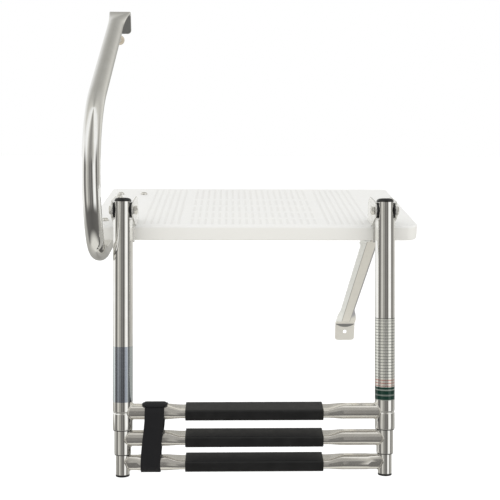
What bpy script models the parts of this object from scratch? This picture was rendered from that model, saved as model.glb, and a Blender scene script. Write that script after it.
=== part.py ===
"""Boat boarding platform: moulded deck, handrail, strut and a three-step telescoping ladder.

Metres. +X is the right of a person facing the boat, +Y points at the boat, +Z is up.
The origin is the middle of the deck's rear face, which bears on the transom.
"""
import math

import bmesh
import bpy
from mathutils import Matrix, Vector

OBJECT = "boat_boarding_ladder"
GAP = 0.0003

DECK_WIDTH = 0.553
DECK_DEPTH = 0.311
DECK_THICKNESS = 0.025
DECK_FRONT_RADIUS = 0.022
DECK_REAR_RADIUS = 0.007
DECK_EDGE = 0.0025
DECK_TOP = DECK_THICKNESS / 2
DECK_BOTTOM = -DECK_THICKNESS / 2

LEAN = math.radians(15.7)
RAIL_X = 0.2134
PIVOT = Vector((0.0, -0.3284, 0.0435))

UPPER_OD = 0.03175
MIDDLE_OD = 0.0270
LOWER_OD = 0.0222
WALL = 0.0012
UPPER_TOP = 0.0133
UPPER_END = -0.3553
MIDDLE_TOP = -0.042
MIDDLE_END = -0.3950
LOWER_TOP = -0.074
LOWER_END = -0.4283
FOOT_END = -0.4315
FLAT_HALF_X = 0.0118
FLAT_BOTTOM = -0.0140
CAP_HALF = (0.0134, 0.0164)
CRIMP_Z = -0.3275

RUNG_OD = 0.0254
RUNG_LEVELS = (-0.3270, -0.3700, -0.4096)
RUNG_FLAT = (0.0300, 0.0156)
RUNG_ROUND_FROM = 0.146
TREAD_HALF = 0.1116
TREAD_WALL = 0.0014
TREAD_CORNER = 0.0036

EAR_INNER = 0.0162
EAR_OUTER = 0.0180
EAR_RADIUS = 0.0155
BOSS_RADIUS = 0.0129
BOSS_HEIGHT = 0.0010
PIVOT_BOLT_RADIUS = 0.0039
PIVOT_HOLE_RADIUS = 0.0043
BRACKET_REAR = -0.268
BRACKET_BOLT_Y = -0.2965
BRACKET_SCREW_Y = -0.2785

HANDRAIL_X = -0.2525
HANDRAIL_OD = 0.0286
HANDRAIL_WALL = 0.0016
HANDRAIL_END_Y = -0.0745
HANDRAIL_ARC_Y = -0.3207
HANDRAIL_ARC_1 = (0.060, math.radians(67.5))
HANDRAIL_ARC_2 = 0.167
HANDRAIL_SLOPE = math.radians(23.2)
HANDRAIL_TAB = (0.040, 0.004, 0.3145)
HANDRAIL_TAB_SHIFT = 0.003
HANDRAIL_BOLT_Y = (-0.272, -0.087)

STRUT_X = 0.2045
STRUT_PLATE = 0.002
STRUT_WEB_HALF = 0.0085
STRUT_FLANGE = 0.0115
STRUT_FOLD = math.radians(64)
STRUT_TAB_BOTTOM = -0.316
STRUT_HOLE_Z = -0.297

ANGLE_X = (-0.272, -0.190)
ANGLE_PLATE = 0.0025
ANGLE_LEG = 0.070
ANGLE_DROP = -0.056
ANGLE_BOLTS = (-0.2530, -0.2085)
ANGLE_BOLT_Y = -0.0578

STRAP_X = -0.161
STRAP_WIDTH = 0.036
STRAP_THICKNESS = 0.0020
STRAP_CLEARANCE = 0.0004

ROUND = 24
SMALL_ROUND = 14


def clear_scene():
    for item in list(bpy.data.objects):
        bpy.data.objects.remove(item, do_unlink=True)


def new_collection(name):
    group = bpy.data.collections.new(name)
    bpy.context.scene.collection.children.link(group)
    return group


def make_material(name, colour, roughness, metallic):
    mat = bpy.data.materials.new(name)
    mat.use_nodes = True
    shader = mat.node_tree.nodes["Principled BSDF"]
    shader.inputs["Base Color"].default_value = (*colour, 1.0)
    shader.inputs["Roughness"].default_value = roughness
    shader.inputs["Metallic"].default_value = metallic
    mat.diffuse_color = (*colour, 1.0)
    return mat


def shade(mesh):
    mesh.shade_smooth()
    mesh.set_sharp_from_angle(angle=math.radians(35))


def place(name, mesh, mat, group, parent=None, location=(0, 0, 0), rotation=(0, 0, 0)):
    shade(mesh)
    item = bpy.data.objects.new(name, mesh)
    if mat is not None:
        mesh.materials.append(mat)
    group.objects.link(item)
    item.location = location
    item.rotation_euler = rotation
    if parent is not None:
        item.parent = parent
    return item


def place_shared(name, source, group, parent, location, rotation=(0, 0, 0)):
    item = bpy.data.objects.new(name, source.data)
    group.objects.link(item)
    item.location = location
    item.rotation_euler = rotation
    item.parent = parent
    return item


def cut(item, cutter, operation="DIFFERENCE"):
    step = item.modifiers.new(cutter.name, "BOOLEAN")
    step.operation = operation
    step.solver = "EXACT"
    step.object = cutter


def tool(item):
    item.hide_render = True
    item.display_type = "WIRE"
    return item


def cylinder_tool(name, radius, length, centre, axis, parent=None, steps=SMALL_ROUND):
    """A cutter along X, Y or Z."""
    turn = {"X": (0, math.pi / 2, 0), "Y": (math.pi / 2, 0, 0), "Z": (0, 0, 0)}[axis]
    mesh = bpy.data.meshes.new(name)
    shape = bmesh.new()
    bmesh.ops.create_cone(shape, cap_ends=True, segments=steps, radius1=radius,
                          radius2=radius, depth=length)
    shape.to_mesh(mesh)
    shape.free()
    return tool(place(name, mesh, None, TOOLS, parent, centre, turn))


def turned(name, profile, mat, group, parent=None, location=(0, 0, 0), rotation=(0, 0, 0),
           closed=False, steps=ROUND):
    """A lathe shape about local Z from (radius, height) points."""
    mesh = bpy.data.meshes.new(name)
    points = [(r, 0.0, z) for r, z in profile]
    edges = [(i, i + 1) for i in range(len(points) - 1)]
    if closed:
        edges.append((len(points) - 1, 0))
    mesh.from_pydata(points, edges, [])
    item = place(name, mesh, mat, group, parent, location, rotation)
    screw = item.modifiers.new("turn", "SCREW")
    screw.axis = "Z"
    screw.steps = steps
    screw.render_steps = steps
    screw.use_merge_vertices = True
    screw.merge_threshold = 0.00001
    screw.use_smooth_shade = True
    return item


def outline_mesh(name, points, thickness):
    """A flat 2D outline given thickness along local Z, centred on it."""
    curve = bpy.data.curves.new(name, "CURVE")
    curve.dimensions = "2D"
    curve.fill_mode = "BOTH"
    curve.extrude = thickness / 2
    line = curve.splines.new("POLY")
    line.points.add(len(points) - 1)
    for point, (x, y) in zip(line.points, points):
        point.co = (x, y, 0.0, 1.0)
    line.use_cyclic_u = True
    holder = bpy.data.objects.new(name, curve)
    bpy.context.scene.collection.objects.link(holder)
    evaluated = holder.evaluated_get(bpy.context.evaluated_depsgraph_get())
    mesh = bpy.data.meshes.new_from_object(evaluated)
    bpy.data.objects.remove(holder, do_unlink=True)
    bpy.data.curves.remove(curve)
    shape = bmesh.new()
    shape.from_mesh(mesh)
    bmesh.ops.remove_doubles(shape, verts=shape.verts, dist=0.00001)
    bmesh.ops.recalc_face_normals(shape, faces=shape.faces)
    shape.to_mesh(mesh)
    shape.free()
    return mesh


def corner(centre, radius, start, end, steps):
    """Points of an arc in degrees about centre."""
    points = []
    for i in range(steps + 1):
        angle = math.radians(start + (end - start) * i / steps)
        points.append((centre[0] + radius * math.cos(angle), centre[1] + radius * math.sin(angle)))
    return points


def loft(name, rings, cyclic):
    """Skin rings of equal length; a cyclic stack closes on itself, an open one is capped."""
    shape = bmesh.new()
    rows = [[shape.verts.new(point) for point in ring] for ring in rings]
    count = len(rows[0])
    pairs = len(rows) if cyclic else len(rows) - 1
    for i in range(pairs):
        lower = rows[i]
        upper = rows[(i + 1) % len(rows)]
        for k in range(count):
            after = (k + 1) % count
            shape.faces.new((lower[k], lower[after], upper[after], upper[k]))
    if not cyclic:
        shape.faces.new(rows[0])
        shape.faces.new(rows[-1])
    bmesh.ops.recalc_face_normals(shape, faces=shape.faces)
    mesh = bpy.data.meshes.new(name)
    shape.to_mesh(mesh)
    shape.free()
    return mesh


def stadium(width, height, count):
    """A ring of count points: two half circles joined by flats; round when width is height."""
    radius = min(width, height) / 2
    shift_x = (width - 2 * radius) / 2
    shift_y = (height - 2 * radius) / 2
    ring = []
    for i in range(count):
        angle = 2 * math.pi * (i + 0.5) / count
        x = radius * math.cos(angle)
        y = radius * math.sin(angle)
        ring.append((x + math.copysign(shift_x, x), y + math.copysign(shift_y, y)))
    return ring


def rounded(width, height, radius, count):
    """A ring of count points: a rectangle with rounded corners."""
    ring = []
    for x, y in stadium(2 * radius, 2 * radius, count):
        ring.append((x + math.copysign(width / 2 - radius, x),
                     y + math.copysign(height / 2 - radius, y)))
    return ring


def hexagon(across, count):
    """A ring of count points spread along a hexagon."""
    inner = across / 2
    ring = []
    for i in range(count):
        angle = 2 * math.pi * i / count
        side = (angle + math.pi / 6) % (math.pi / 3) - math.pi / 6
        reach = inner / math.cos(side)
        ring.append((reach * math.cos(angle), reach * math.sin(angle)))
    return ring


def circle(radius, count):
    return [(radius * math.cos(2 * math.pi * i / count), radius * math.sin(2 * math.pi * i / count))
            for i in range(count)]


def lift(ring, z):
    return [Vector((x, y, z)) for x, y in ring]


def hex_bolt_mesh(name, across, head, radius, reach):
    """Head above local Z = 0, shank below it."""
    count = 12
    rings = [lift(hexagon(across * 0.94, count), head), lift(hexagon(across, count), head * 0.82),
             lift(hexagon(across, count), 0.0), lift(circle(radius, count), 0.0),
             lift(circle(radius, count), -reach + radius * 0.2),
             lift(circle(radius * 0.8, count), -reach)]
    return loft(name, rings, False)


def hex_nut_mesh(name, across, height, bore):
    count = 12
    chamfer = height * 0.16
    rings = [lift(hexagon(across * 0.95, count), 0.0), lift(hexagon(across, count), chamfer),
             lift(hexagon(across, count), height - chamfer),
             lift(hexagon(across * 0.95, count), height),
             lift(circle(bore, count), height), lift(circle(bore, count), 0.0)]
    return loft(name, rings, True)


def pan_bolt_profile(head_radius, head_height, radius, reach):
    """Domed head on local Z = 0, shank below, as (radius, height) from the crown down."""
    points = [(0.0, head_height)]
    for i in range(1, 6):
        angle = math.pi / 2 * i / 5
        points.append((head_radius * math.sin(angle), head_height * math.cos(angle)))
    points += [(radius, 0.0), (radius, -reach), (0.0, -reach)]
    return points


def deck():
    half = DECK_WIDTH / 2
    front = -DECK_DEPTH
    fr = DECK_FRONT_RADIUS
    rr = DECK_REAR_RADIUS
    points = corner((half - rr, -rr), rr, 0, 90, 4)
    points += corner((-half + rr, -rr), rr, 90, 180, 4)
    points += corner((-half + fr, front + fr), fr, 180, 270, 8)
    points += corner((half - fr, front + fr), fr, 270, 360, 8)
    mesh = outline_mesh("deck", points, DECK_THICKNESS)
    item = place("deck", mesh, WHITE, PARTS)
    edge = item.modifiers.new("edge", "BEVEL")
    edge.width = DECK_EDGE
    edge.segments = 3
    edge.limit_method = "ANGLE"
    edge.angle_limit = math.radians(50)
    holes = [(-RAIL_X, BRACKET_BOLT_Y), (RAIL_X, BRACKET_BOLT_Y)]
    holes += [(HANDRAIL_X, y) for y in HANDRAIL_BOLT_Y]
    holes += [(x, ANGLE_BOLT_Y) for x in ANGLE_BOLTS]
    for i, (x, y) in enumerate(holes):
        cut(item, cylinder_tool(f"deck_hole_{i}", 0.0034, 0.05, (x, y, 0.0), "Z"))
    for side, x in (("left", -RAIL_X), ("right", RAIL_X)):
        cut(item, cylinder_tool(f"deck_pilot_{side}", 0.0024, 0.03,
                                (x, BRACKET_SCREW_Y, DECK_TOP - 0.014 + 0.015), "Z"))
    return item


def bracket(side, x):
    """A folded channel: two ears either side of the rail, a base on the deck and a stop tongue."""
    base_z = DECK_TOP + GAP
    ear = corner((PIVOT.y, PIVOT.z), EAR_RADIUS, 225, 80, 12)
    ear += corner((BRACKET_REAR - 0.020, 0.037), 0.020, 75, 0, 6)
    ear += [(BRACKET_REAR, base_z + 0.0002), (-0.3095, base_z + 0.0002), (-0.3150, 0.0160)]
    parts = []
    for hand, offset in (("a", -1), ("b", 1)):
        mesh = outline_mesh(f"bracket_{side}_ear_{hand}", ear, EAR_OUTER - EAR_INNER)
        mesh.transform(Matrix(((0, 0, 1, 0), (1, 0, 0, 0), (0, 1, 0, 0), (0, 0, 0, 1))))
        middle = x + offset * (EAR_OUTER + EAR_INNER) / 2
        parts.append((mesh, middle))
    item = place(f"hinge_bracket_{side}", parts[0][0], SATIN, PARTS, location=(parts[0][1], 0, 0))
    other = tool(place(f"bracket_{side}_other", parts[1][0], None, TOOLS, location=(parts[1][1], 0, 0)))
    for ear_item, hand in ((item, -1), (other, 1)):
        centre = x + hand * (EAR_INNER - BOSS_HEIGHT / 2 + 0.0003)
        cut(ear_item, cylinder_tool(f"{ear_item.name}_boss", BOSS_RADIUS, BOSS_HEIGHT + 0.0006,
                                    (centre, PIVOT.y, PIVOT.z), "X", steps=28), "UNION")
    plate = 0.0025
    width = EAR_INNER + 0.0008
    base_points = [(BRACKET_REAR - 0.0015, base_z), (BRACKET_REAR - 0.0015, base_z + plate)]
    top = PIVOT + ladder_vector(0.0187, -0.0262)
    face = PIVOT + ladder_vector(0.0162, -0.0262)
    foot = PIVOT + ladder_vector(0.0162, -0.052)
    heel = PIVOT + ladder_vector(0.0187, -0.052)
    base_points += [(face.y + 0.0012, base_z + plate), (face.y, face.z - 0.0002),
                    (foot.y, foot.z), (heel.y, heel.z), (top.y, base_z)]
    mesh = outline_mesh(f"bracket_{side}_base", base_points, 2 * width)
    mesh.transform(Matrix(((0, 0, 1, 0), (1, 0, 0, 0), (0, 1, 0, 0), (0, 0, 0, 1))))
    base = tool(place(f"bracket_{side}_base", mesh, None, TOOLS, location=(x, 0, 0)))
    cut(item, base, "UNION")
    cut(item, other, "UNION")
    cut(item, cylinder_tool(f"bracket_{side}_pin", PIVOT_HOLE_RADIUS, 0.06,
                            (x, PIVOT.y, PIVOT.z), "X"))
    cut(item, cylinder_tool(f"bracket_{side}_bolt", 0.0034, 0.02,
                            (x, BRACKET_BOLT_Y, base_z), "Z"))
    cut(item, cylinder_tool(f"bracket_{side}_screw", 0.0027, 0.02,
                            (x, BRACKET_SCREW_Y, base_z), "Z"))
    return item


def ladder_vector(y, z):
    """A vector of the leaning ladder's own frame in world axes."""
    return Matrix.Rotation(-LEAN, 4, "X") @ Vector((0.0, y, z))


def bracket_fasteners():
    head_z = DECK_TOP + GAP + 0.0025 + GAP
    bolt = turned("bracket_bolt_left", pan_bolt_profile(0.0062, 0.0036, 0.0030, 0.0385), POLISHED,
                  PARTS, location=(-RAIL_X, BRACKET_BOLT_Y, head_z), steps=SMALL_ROUND)
    right = place_shared("bracket_bolt_right", bolt, PARTS, None, (RAIL_X, BRACKET_BOLT_Y, head_z))
    copy_turn(bolt, right)
    screw = turned("bracket_screw_left", pan_bolt_profile(0.0052, 0.0030, 0.0021, 0.0150), POLISHED,
                   PARTS, location=(-RAIL_X, BRACKET_SCREW_Y, head_z), steps=SMALL_ROUND)
    right = place_shared("bracket_screw_right", screw, PARTS, None,
                         (RAIL_X, BRACKET_SCREW_Y, head_z))
    copy_turn(screw, right)
    nut = place("bracket_nut_left", hex_nut_mesh("bracket_nut", 0.010, 0.0050, 0.0033), POLISHED,
                PARTS, location=(-RAIL_X, BRACKET_BOLT_Y, DECK_BOTTOM - GAP - 0.0050))
    place_shared("bracket_nut_right", nut, PARTS, None,
                 (RAIL_X, BRACKET_BOLT_Y, DECK_BOTTOM - 2 * GAP - STRUT_PLATE - 0.0050))


def copy_turn(source, item):
    """Give a linked copy the same Screw step as its source."""
    old = source.modifiers["turn"]
    screw = item.modifiers.new("turn", "SCREW")
    screw.axis = "Z"
    screw.steps = old.steps
    screw.render_steps = old.steps
    screw.use_merge_vertices = True
    screw.merge_threshold = old.merge_threshold
    screw.use_smooth_shade = True


def hinge_pins():
    """A bolt from the outboard side of each bracket, its nut inboard and two washers."""
    for side, sign in (("left", -1), ("right", 1)):
        x = sign * RAIL_X
        outward = (0, sign * math.pi / 2, 0)
        bolt = hex_bolt_mesh(f"hinge_bolt_{side}", 0.0127, 0.0040, PIVOT_BOLT_RADIUS,
                             2 * EAR_OUTER + 2 * GAP + 0.0060)
        place(f"hinge_bolt_{side}", bolt, POLISHED, PARTS,
              location=(x + sign * (EAR_OUTER + GAP), PIVOT.y, PIVOT.z), rotation=outward)
        nut = hex_nut_mesh(f"hinge_nut_{side}", 0.0127, 0.0052, PIVOT_HOLE_RADIUS)
        inward = (0, -sign * math.pi / 2, 0)
        place(f"hinge_nut_{side}", nut, POLISHED, PARTS,
              location=(x - sign * (EAR_OUTER + GAP), PIVOT.y, PIVOT.z), rotation=inward)
        for where, hand in (("outer", 1), ("inner", -1)):
            near = FLAT_HALF_X + GAP
            far = EAR_INNER - BOSS_HEIGHT - GAP
            profile = [(PIVOT_HOLE_RADIUS, far), (0.0122, far), (0.0127, far - 0.0005),
                       (0.0127, near + 0.0005), (0.0122, near), (PIVOT_HOLE_RADIUS, near)]
            turned(f"hinge_washer_{side}_{where}", profile, NYLON, PARTS,
                   location=(x, PIVOT.y, PIVOT.z),
                   rotation=(0, sign * hand * math.pi / 2, 0), closed=True, steps=20)


def handrail_path():
    """Stations along the rail as (point, heading) in the YZ plane, lower end first."""
    z = DECK_BOTTOM - GAP - HANDRAIL_OD / 2
    stations = []
    for i in range(4):
        y = HANDRAIL_END_Y + (HANDRAIL_ARC_Y - HANDRAIL_END_Y) * i / 4
        stations.append((Vector((y, z)), math.pi))
    point = Vector((HANDRAIL_ARC_Y, z))
    heading = math.pi
    first = HANDRAIL_ARC_1[1]
    for radius, sweep, steps in ((HANDRAIL_ARC_1[0], first, 9),
                                 (HANDRAIL_ARC_2, math.pi - HANDRAIL_SLOPE - first, 15)):
        centre = point + radius * Vector((math.cos(heading - math.pi / 2),
                                          math.sin(heading - math.pi / 2)))
        start = heading
        for i in range(steps + 1):
            heading = start - sweep * i / steps
            back = Vector((math.cos(heading - math.pi / 2), math.sin(heading - math.pi / 2)))
            if i > 0 or radius == HANDRAIL_ARC_1[0]:
                stations.append((centre - radius * back, heading))
        point = stations[-1][0]
    return stations


def handrail_rings(count):
    """Outer rings (point, heading, width, depth) and how many of them carry the bore."""
    stations = handrail_path()
    rings = [(point, heading, HANDRAIL_OD, HANDRAIL_OD) for point, heading in stations]
    point, heading = stations[-1]
    along = Vector((math.cos(heading), math.sin(heading)))
    rise = Vector((-along.y, along.x))
    tab_width, tab_depth, tab_bottom = HANDRAIL_TAB
    bend = 0.0035
    raised = 0.0048
    face = tab_depth / 2 * math.cos(math.pi / count)
    end = (along.y * (raised - bend) - face - bend - point.x) / along.x
    for distance in (end * 0.5, end - 0.052):
        rings.append((point + along * distance, heading, HANDRAIL_OD, HANDRAIL_OD))
    bored = len(rings)
    for step in (0.15, 0.35, 0.55, 0.75, 0.9, 1.0):
        ease = step * step * (3 - 2 * step)
        width = HANDRAIL_OD + (tab_width - HANDRAIL_OD) * step ** 2
        depth = HANDRAIL_OD + (tab_depth - HANDRAIL_OD) * ease
        distance = end - 0.052 + 0.044 * step
        rings.append((point + along * distance + rise * raised * ease, heading, width, depth))
    start = point + along * end + rise * raised
    turn = heading + math.pi / 2
    centre = start - rise * bend
    for i in range(5):
        angle = heading - turn * i / 4
        normal = Vector((-math.sin(angle), math.cos(angle)))
        rings.append((centre + normal * bend, angle, tab_width, tab_depth))
    last = rings[-1][0]
    rings.append((Vector((last.x, tab_bottom)), -math.pi / 2, tab_width, tab_depth))
    return rings, bored


def ring_at(centre, heading, width, depth, count):
    """A stadium ring square to a heading of the rail's plane; a wide one sits further inboard."""
    rise = Vector((-math.sin(heading), math.cos(heading)))
    shift = HANDRAIL_TAB_SHIFT * max(0.0, width - HANDRAIL_OD) / (HANDRAIL_TAB[0] - HANDRAIL_OD)
    points = []
    for u, v in stadium(width, depth, count):
        spot = centre + rise * v
        points.append(Vector((u + shift, spot.x, spot.y)))
    return points


def handrail():
    count = 20
    rings, bored = handrail_rings(count)
    outer = [ring_at(*ring, count) for ring in rings]
    less = 2 * HANDRAIL_WALL
    inner = [ring_at(point, heading, width - less, depth - less, count)
             for point, heading, width, depth in rings[:bored]]
    mesh = loft("handrail", inner[::-1] + outer, False)
    item = place("handrail", mesh, POLISHED, PARTS, location=(HANDRAIL_X, 0, 0))
    for i, y in enumerate(HANDRAIL_BOLT_Y):
        cut(item, cylinder_tool(f"handrail_hole_{i}", 0.0034, 0.05, (HANDRAIL_X, y, -0.027), "Z"))
    cut(item, cylinder_tool("handrail_tab_hole", 0.0042, 0.02,
                            (HANDRAIL_X + HANDRAIL_TAB_SHIFT, -0.002, 0.3370), "Y"))
    return item


def handrail_fasteners():
    """Two domed bolts through the deck and the rail's lower leg, nuts under the tube."""
    nut_z = DECK_BOTTOM - GAP - HANDRAIL_OD - GAP - 0.0050
    reach = DECK_TOP + GAP - nut_z + 0.0010
    for name, y in zip(("front", "rear"), HANDRAIL_BOLT_Y):
        turned(f"handrail_bolt_{name}", pan_bolt_profile(0.0066, 0.0042, 0.0030, reach), POLISHED,
               PARTS, location=(HANDRAIL_X, y, DECK_TOP + GAP), steps=SMALL_ROUND)
        place(f"handrail_nut_{name}", hex_nut_mesh(f"handrail_nut_{name}", 0.010, 0.0050, 0.0033),
              POLISHED, PARTS, location=(HANDRAIL_X, y, nut_z))


def standoff():
    """A short stud under the rail's top end with a rubber pad that bears on the transom."""
    z = 0.3030
    pad = 0.0055
    stud = [(0.0, -pad - GAP), (0.0042, -pad - GAP), (0.0042, -0.0644), (0.0, -0.0644)]
    turned("rail_standoff_stud", stud, SATIN, PARTS, location=(HANDRAIL_X, 0, z),
           rotation=(-math.pi / 2, 0, 0), steps=SMALL_ROUND)
    disc = [(0.0, 0.0), (0.0080, 0.0), (0.0092, -0.0012), (0.0092, -pad + 0.0008),
            (0.0084, -pad), (0.0, -pad)]
    turned("rail_standoff_pad", disc, PAD, PARTS, location=(HANDRAIL_X, 0, z),
           rotation=(-math.pi / 2, 0, 0), steps=24)


def strut_section(fold):
    """The plate's outline across its width: u sideways, v square to the web, web at v = 0."""
    angle = STRUT_FOLD * fold
    blend = 0.0015
    line = [(STRUT_WEB_HALF + (STRUT_FLANGE) * math.cos(angle), STRUT_FLANGE * math.sin(angle)),
            (STRUT_WEB_HALF + blend * math.cos(angle), blend * math.sin(angle)),
            (STRUT_WEB_HALF - blend, 0.0)]
    half = STRUT_PLATE / 2
    normals = [(-math.sin(angle), math.cos(angle)),
               (-math.sin(angle * 0.8), math.cos(angle * 0.8)),
               (-math.sin(angle * 0.2), math.cos(angle * 0.2))]
    right_top = [(u + half * n[0], v + half * n[1]) for (u, v), n in zip(line, normals)]
    right_low = [(u - half * n[0], v - half * n[1]) for (u, v), n in zip(line, normals)]
    top = right_top + [(-u, v) for u, v in reversed(right_top)]
    low = right_low + [(-u, v) for u, v in reversed(right_low)]
    return top + low[::-1]


def strut():
    plate_z = DECK_BOTTOM - GAP - STRUT_PLATE / 2
    bend = 0.004
    knee = Vector((-0.2840, plate_z))
    tab = Vector((-STRUT_PLATE / 2, -0.2790))
    run = tab - knee
    slope = math.atan2(run.y, run.x)
    stations = [(Vector((-0.3085, plate_z)), 0.0, 0.0)]
    reach = bend * math.tan(abs(slope) / 2)
    centre = knee + Vector((-reach, -bend))
    for i in range(4):
        angle = slope * i / 3
        normal = Vector((-math.sin(angle), math.cos(angle)))
        stations.append((centre + normal * bend, angle, 0.0))
    along = run.normalized()
    length = run.length
    drop = (-math.pi / 2 - slope)
    hold = bend * math.tan(abs(drop) / 2)
    for share, fold in ((0.05, 0.25), (0.09, 0.7), (0.13, 1.0), (0.45, 1.0), (0.78, 1.0),
                        (0.85, 0.8), (0.90, 0.45), (0.94, 0.12)):
        stations.append((knee + along * length * share, slope, fold))
    centre = tab + Vector((-bend, hold))
    for i in range(4):
        angle = slope + drop * i / 3
        normal = Vector((-math.sin(angle), math.cos(angle)))
        stations.append((centre + normal * bend, angle, 0.0))
    stations.append((Vector((tab.x, STRUT_TAB_BOTTOM)), -math.pi / 2, 0.0))
    rings = []
    for point, heading, fold in stations:
        rise = Vector((-math.sin(heading), math.cos(heading)))
        ring = []
        for u, v in strut_section(fold):
            spot = point + rise * v
            ring.append(Vector((u, spot.x, spot.y)))
        rings.append(ring)
    item = place("support_strut", loft("support_strut", rings, False), SATIN, PARTS,
                 location=(STRUT_X, 0, 0))
    cut(item, cylinder_tool("strut_tab_hole", 0.0041, 0.02, (STRUT_X, 0, STRUT_HOLE_Z), "Y"))
    cut(item, cylinder_tool("strut_foot_hole", 0.0034, 0.02,
                            (RAIL_X, BRACKET_BOLT_Y, plate_z), "Z"))
    return item


def transom_angle():
    """The folded angle under the rear left corner."""
    top = DECK_BOTTOM - GAP
    t = ANGLE_PLATE
    outline = [(-ANGLE_LEG, top), (-ANGLE_LEG, top - t)]
    outline += corner((-t - 0.003, top - t - 0.003), 0.003, 90, 0, 4)
    outline += [(-t, ANGLE_DROP), (0.0, ANGLE_DROP)]
    outline += corner((-t - 0.003, top - t - 0.003), t + 0.003, 0, 90, 5)
    mesh = outline_mesh("transom_angle", outline, ANGLE_X[1] - ANGLE_X[0])
    mesh.transform(Matrix(((0, 0, 1, 0), (1, 0, 0, 0), (0, 1, 0, 0), (0, 0, 0, 1))))
    item = place("transom_angle", mesh, SATIN, PARTS, location=(sum(ANGLE_X) / 2, 0, 0))
    for i, x in enumerate(ANGLE_BOLTS):
        cut(item, cylinder_tool(f"angle_hole_{i}", 0.0034, 0.02, (x, ANGLE_BOLT_Y, top), "Z"))
        cut(item, cylinder_tool(f"angle_mount_{i}", 0.0041, 0.02, (x, 0, -0.0385), "Y"))
    nut_z = top - t - GAP - 0.0050
    reach = DECK_TOP + GAP - nut_z + 0.0010
    for name, x in zip(("outer", "inner"), ANGLE_BOLTS):
        turned(f"angle_bolt_{name}", pan_bolt_profile(0.0066, 0.0042, 0.0030, reach), POLISHED,
               PARTS, location=(x, ANGLE_BOLT_Y, DECK_TOP + GAP), steps=SMALL_ROUND)
        place(f"angle_nut_{name}", hex_nut_mesh(f"angle_nut_{name}", 0.010, 0.0050, 0.0033),
              POLISHED, PARTS, location=(x, ANGLE_BOLT_Y, nut_z))


def empty(name, parent=None, location=(0, 0, 0), rotation=(0, 0, 0)):
    item = bpy.data.objects.new(name, None)
    PARTS.objects.link(item)
    item.location = location
    item.rotation_euler = rotation
    item.parent = parent
    return item


def flatted(radius, half_x, count):
    """A circle whose two sides are pressed flat at half_x."""
    ring = []
    for x, y in stadium(2 * radius, 2 * radius, count):
        ring.append((max(-half_x, min(half_x, x)), y))
    return ring


def upper_tube_mesh():
    """Round tube whose sides are pressed flat at the top, where the washers bear."""
    radius = UPPER_OD / 2
    sections = [(UPPER_END, radius, radius), (CRIMP_Z - 0.0022, radius, radius),
                (CRIMP_Z - 0.0009, radius - 0.0007, radius),
                (CRIMP_Z + 0.0009, radius - 0.0007, radius),
                (CRIMP_Z + 0.0022, radius, radius), (FLAT_BOTTOM - 0.0020, radius, radius),
                (FLAT_BOTTOM, radius, FLAT_HALF_X), (UPPER_TOP, radius, FLAT_HALF_X)]
    outer = [lift(flatted(r, half, ROUND), z) for z, r, half in sections]
    inner = [lift(flatted(r - WALL, half - WALL, ROUND), z)
             for z, r, half in sections if abs(z - CRIMP_Z) > 0.003]
    return loft("upper_tube", outer + inner[::-1], True)


def tube_profile(od, top, bottom):
    outer = od / 2
    inner = outer - WALL
    return [(inner, top), (outer, top), (outer, bottom), (inner, bottom)]


def cap_mesh():
    """The plug in the top of an upper tube."""
    top = UPPER_TOP + 0.0062
    seat = UPPER_TOP + GAP
    wide, deep = CAP_HALF
    plug = (FLAT_HALF_X - WALL - 0.0004, UPPER_OD / 2 - WALL - 0.0004)
    sizes = [(top, wide - 0.0034, deep - 0.0034), (top - 0.0008, wide - 0.0014, deep - 0.0014),
             (top - 0.0026, wide - 0.0002, deep - 0.0002), (seat, wide, deep), (seat, *plug),
             (UPPER_TOP - 0.0070, plug[0] - 0.0002, plug[1] - 0.0002)]
    rings = [lift(stadium(2 * half_x, 2 * half_y, ROUND), z) for z, half_x, half_y in sizes]
    return loft("top_cap", rings, False)


def rung_mesh(name, tip_half_y, end_x):
    """A hollow rung: round ends, pressed flat in the middle and level when the ladder hangs."""
    width, height = RUNG_FLAT
    stops = [(end_x, 2 * tip_half_y, RUNG_OD), (0.186, RUNG_OD, RUNG_OD),
             (RUNG_ROUND_FROM, RUNG_OD, RUNG_OD)]
    for step in (0.25, 0.5, 0.75, 1.0):
        ease = step * step * (3 - 2 * step)
        stops.append((RUNG_ROUND_FROM + (0.1175 - RUNG_ROUND_FROM) * step,
                      RUNG_OD + (width - RUNG_OD) * ease, RUNG_OD + (height - RUNG_OD) * ease))
    stations = stops + [(-x, w, h) for x, w, h in reversed(stops)]
    level = Matrix.Rotation(LEAN, 4, "X")
    outer = []
    inner = []
    for x, w, h in stations:
        outer.append([level @ Vector((x, u, v)) for u, v in stadium(w, h, 20)])
        inner.append([level @ Vector((x, u, v))
                      for u, v in stadium(w - 2 * WALL, h - 2 * WALL, 20)])
    return loft(name, outer + inner[::-1], True)


def rung(name, level, tube_od, frame):
    tight = tube_od < RUNG_OD
    tip = 0.0092 if tight else RUNG_OD / 2
    clearance = tube_od / 2 + GAP
    end_x = RAIL_X - math.sqrt(clearance ** 2 - tip ** 2) + 0.0016
    item = place(name, rung_mesh(name, tip, end_x), POLISHED, PARTS, frame, (0, 0, level))
    for side, x in (("left", -RAIL_X), ("right", RAIL_X)):
        cut(item, cope_tool(f"{name}_cope_{side}", clearance, (x, 0, level), frame))
    return item


def cope_tool(name, radius, centre, frame):
    mesh = bpy.data.meshes.new(name)
    shape = bmesh.new()
    bmesh.ops.create_cone(shape, cap_ends=True, segments=32, radius1=radius, radius2=radius,
                          depth=0.06)
    shape.to_mesh(mesh)
    shape.free()
    return tool(place(name, mesh, None, TOOLS, frame, centre))


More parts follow.
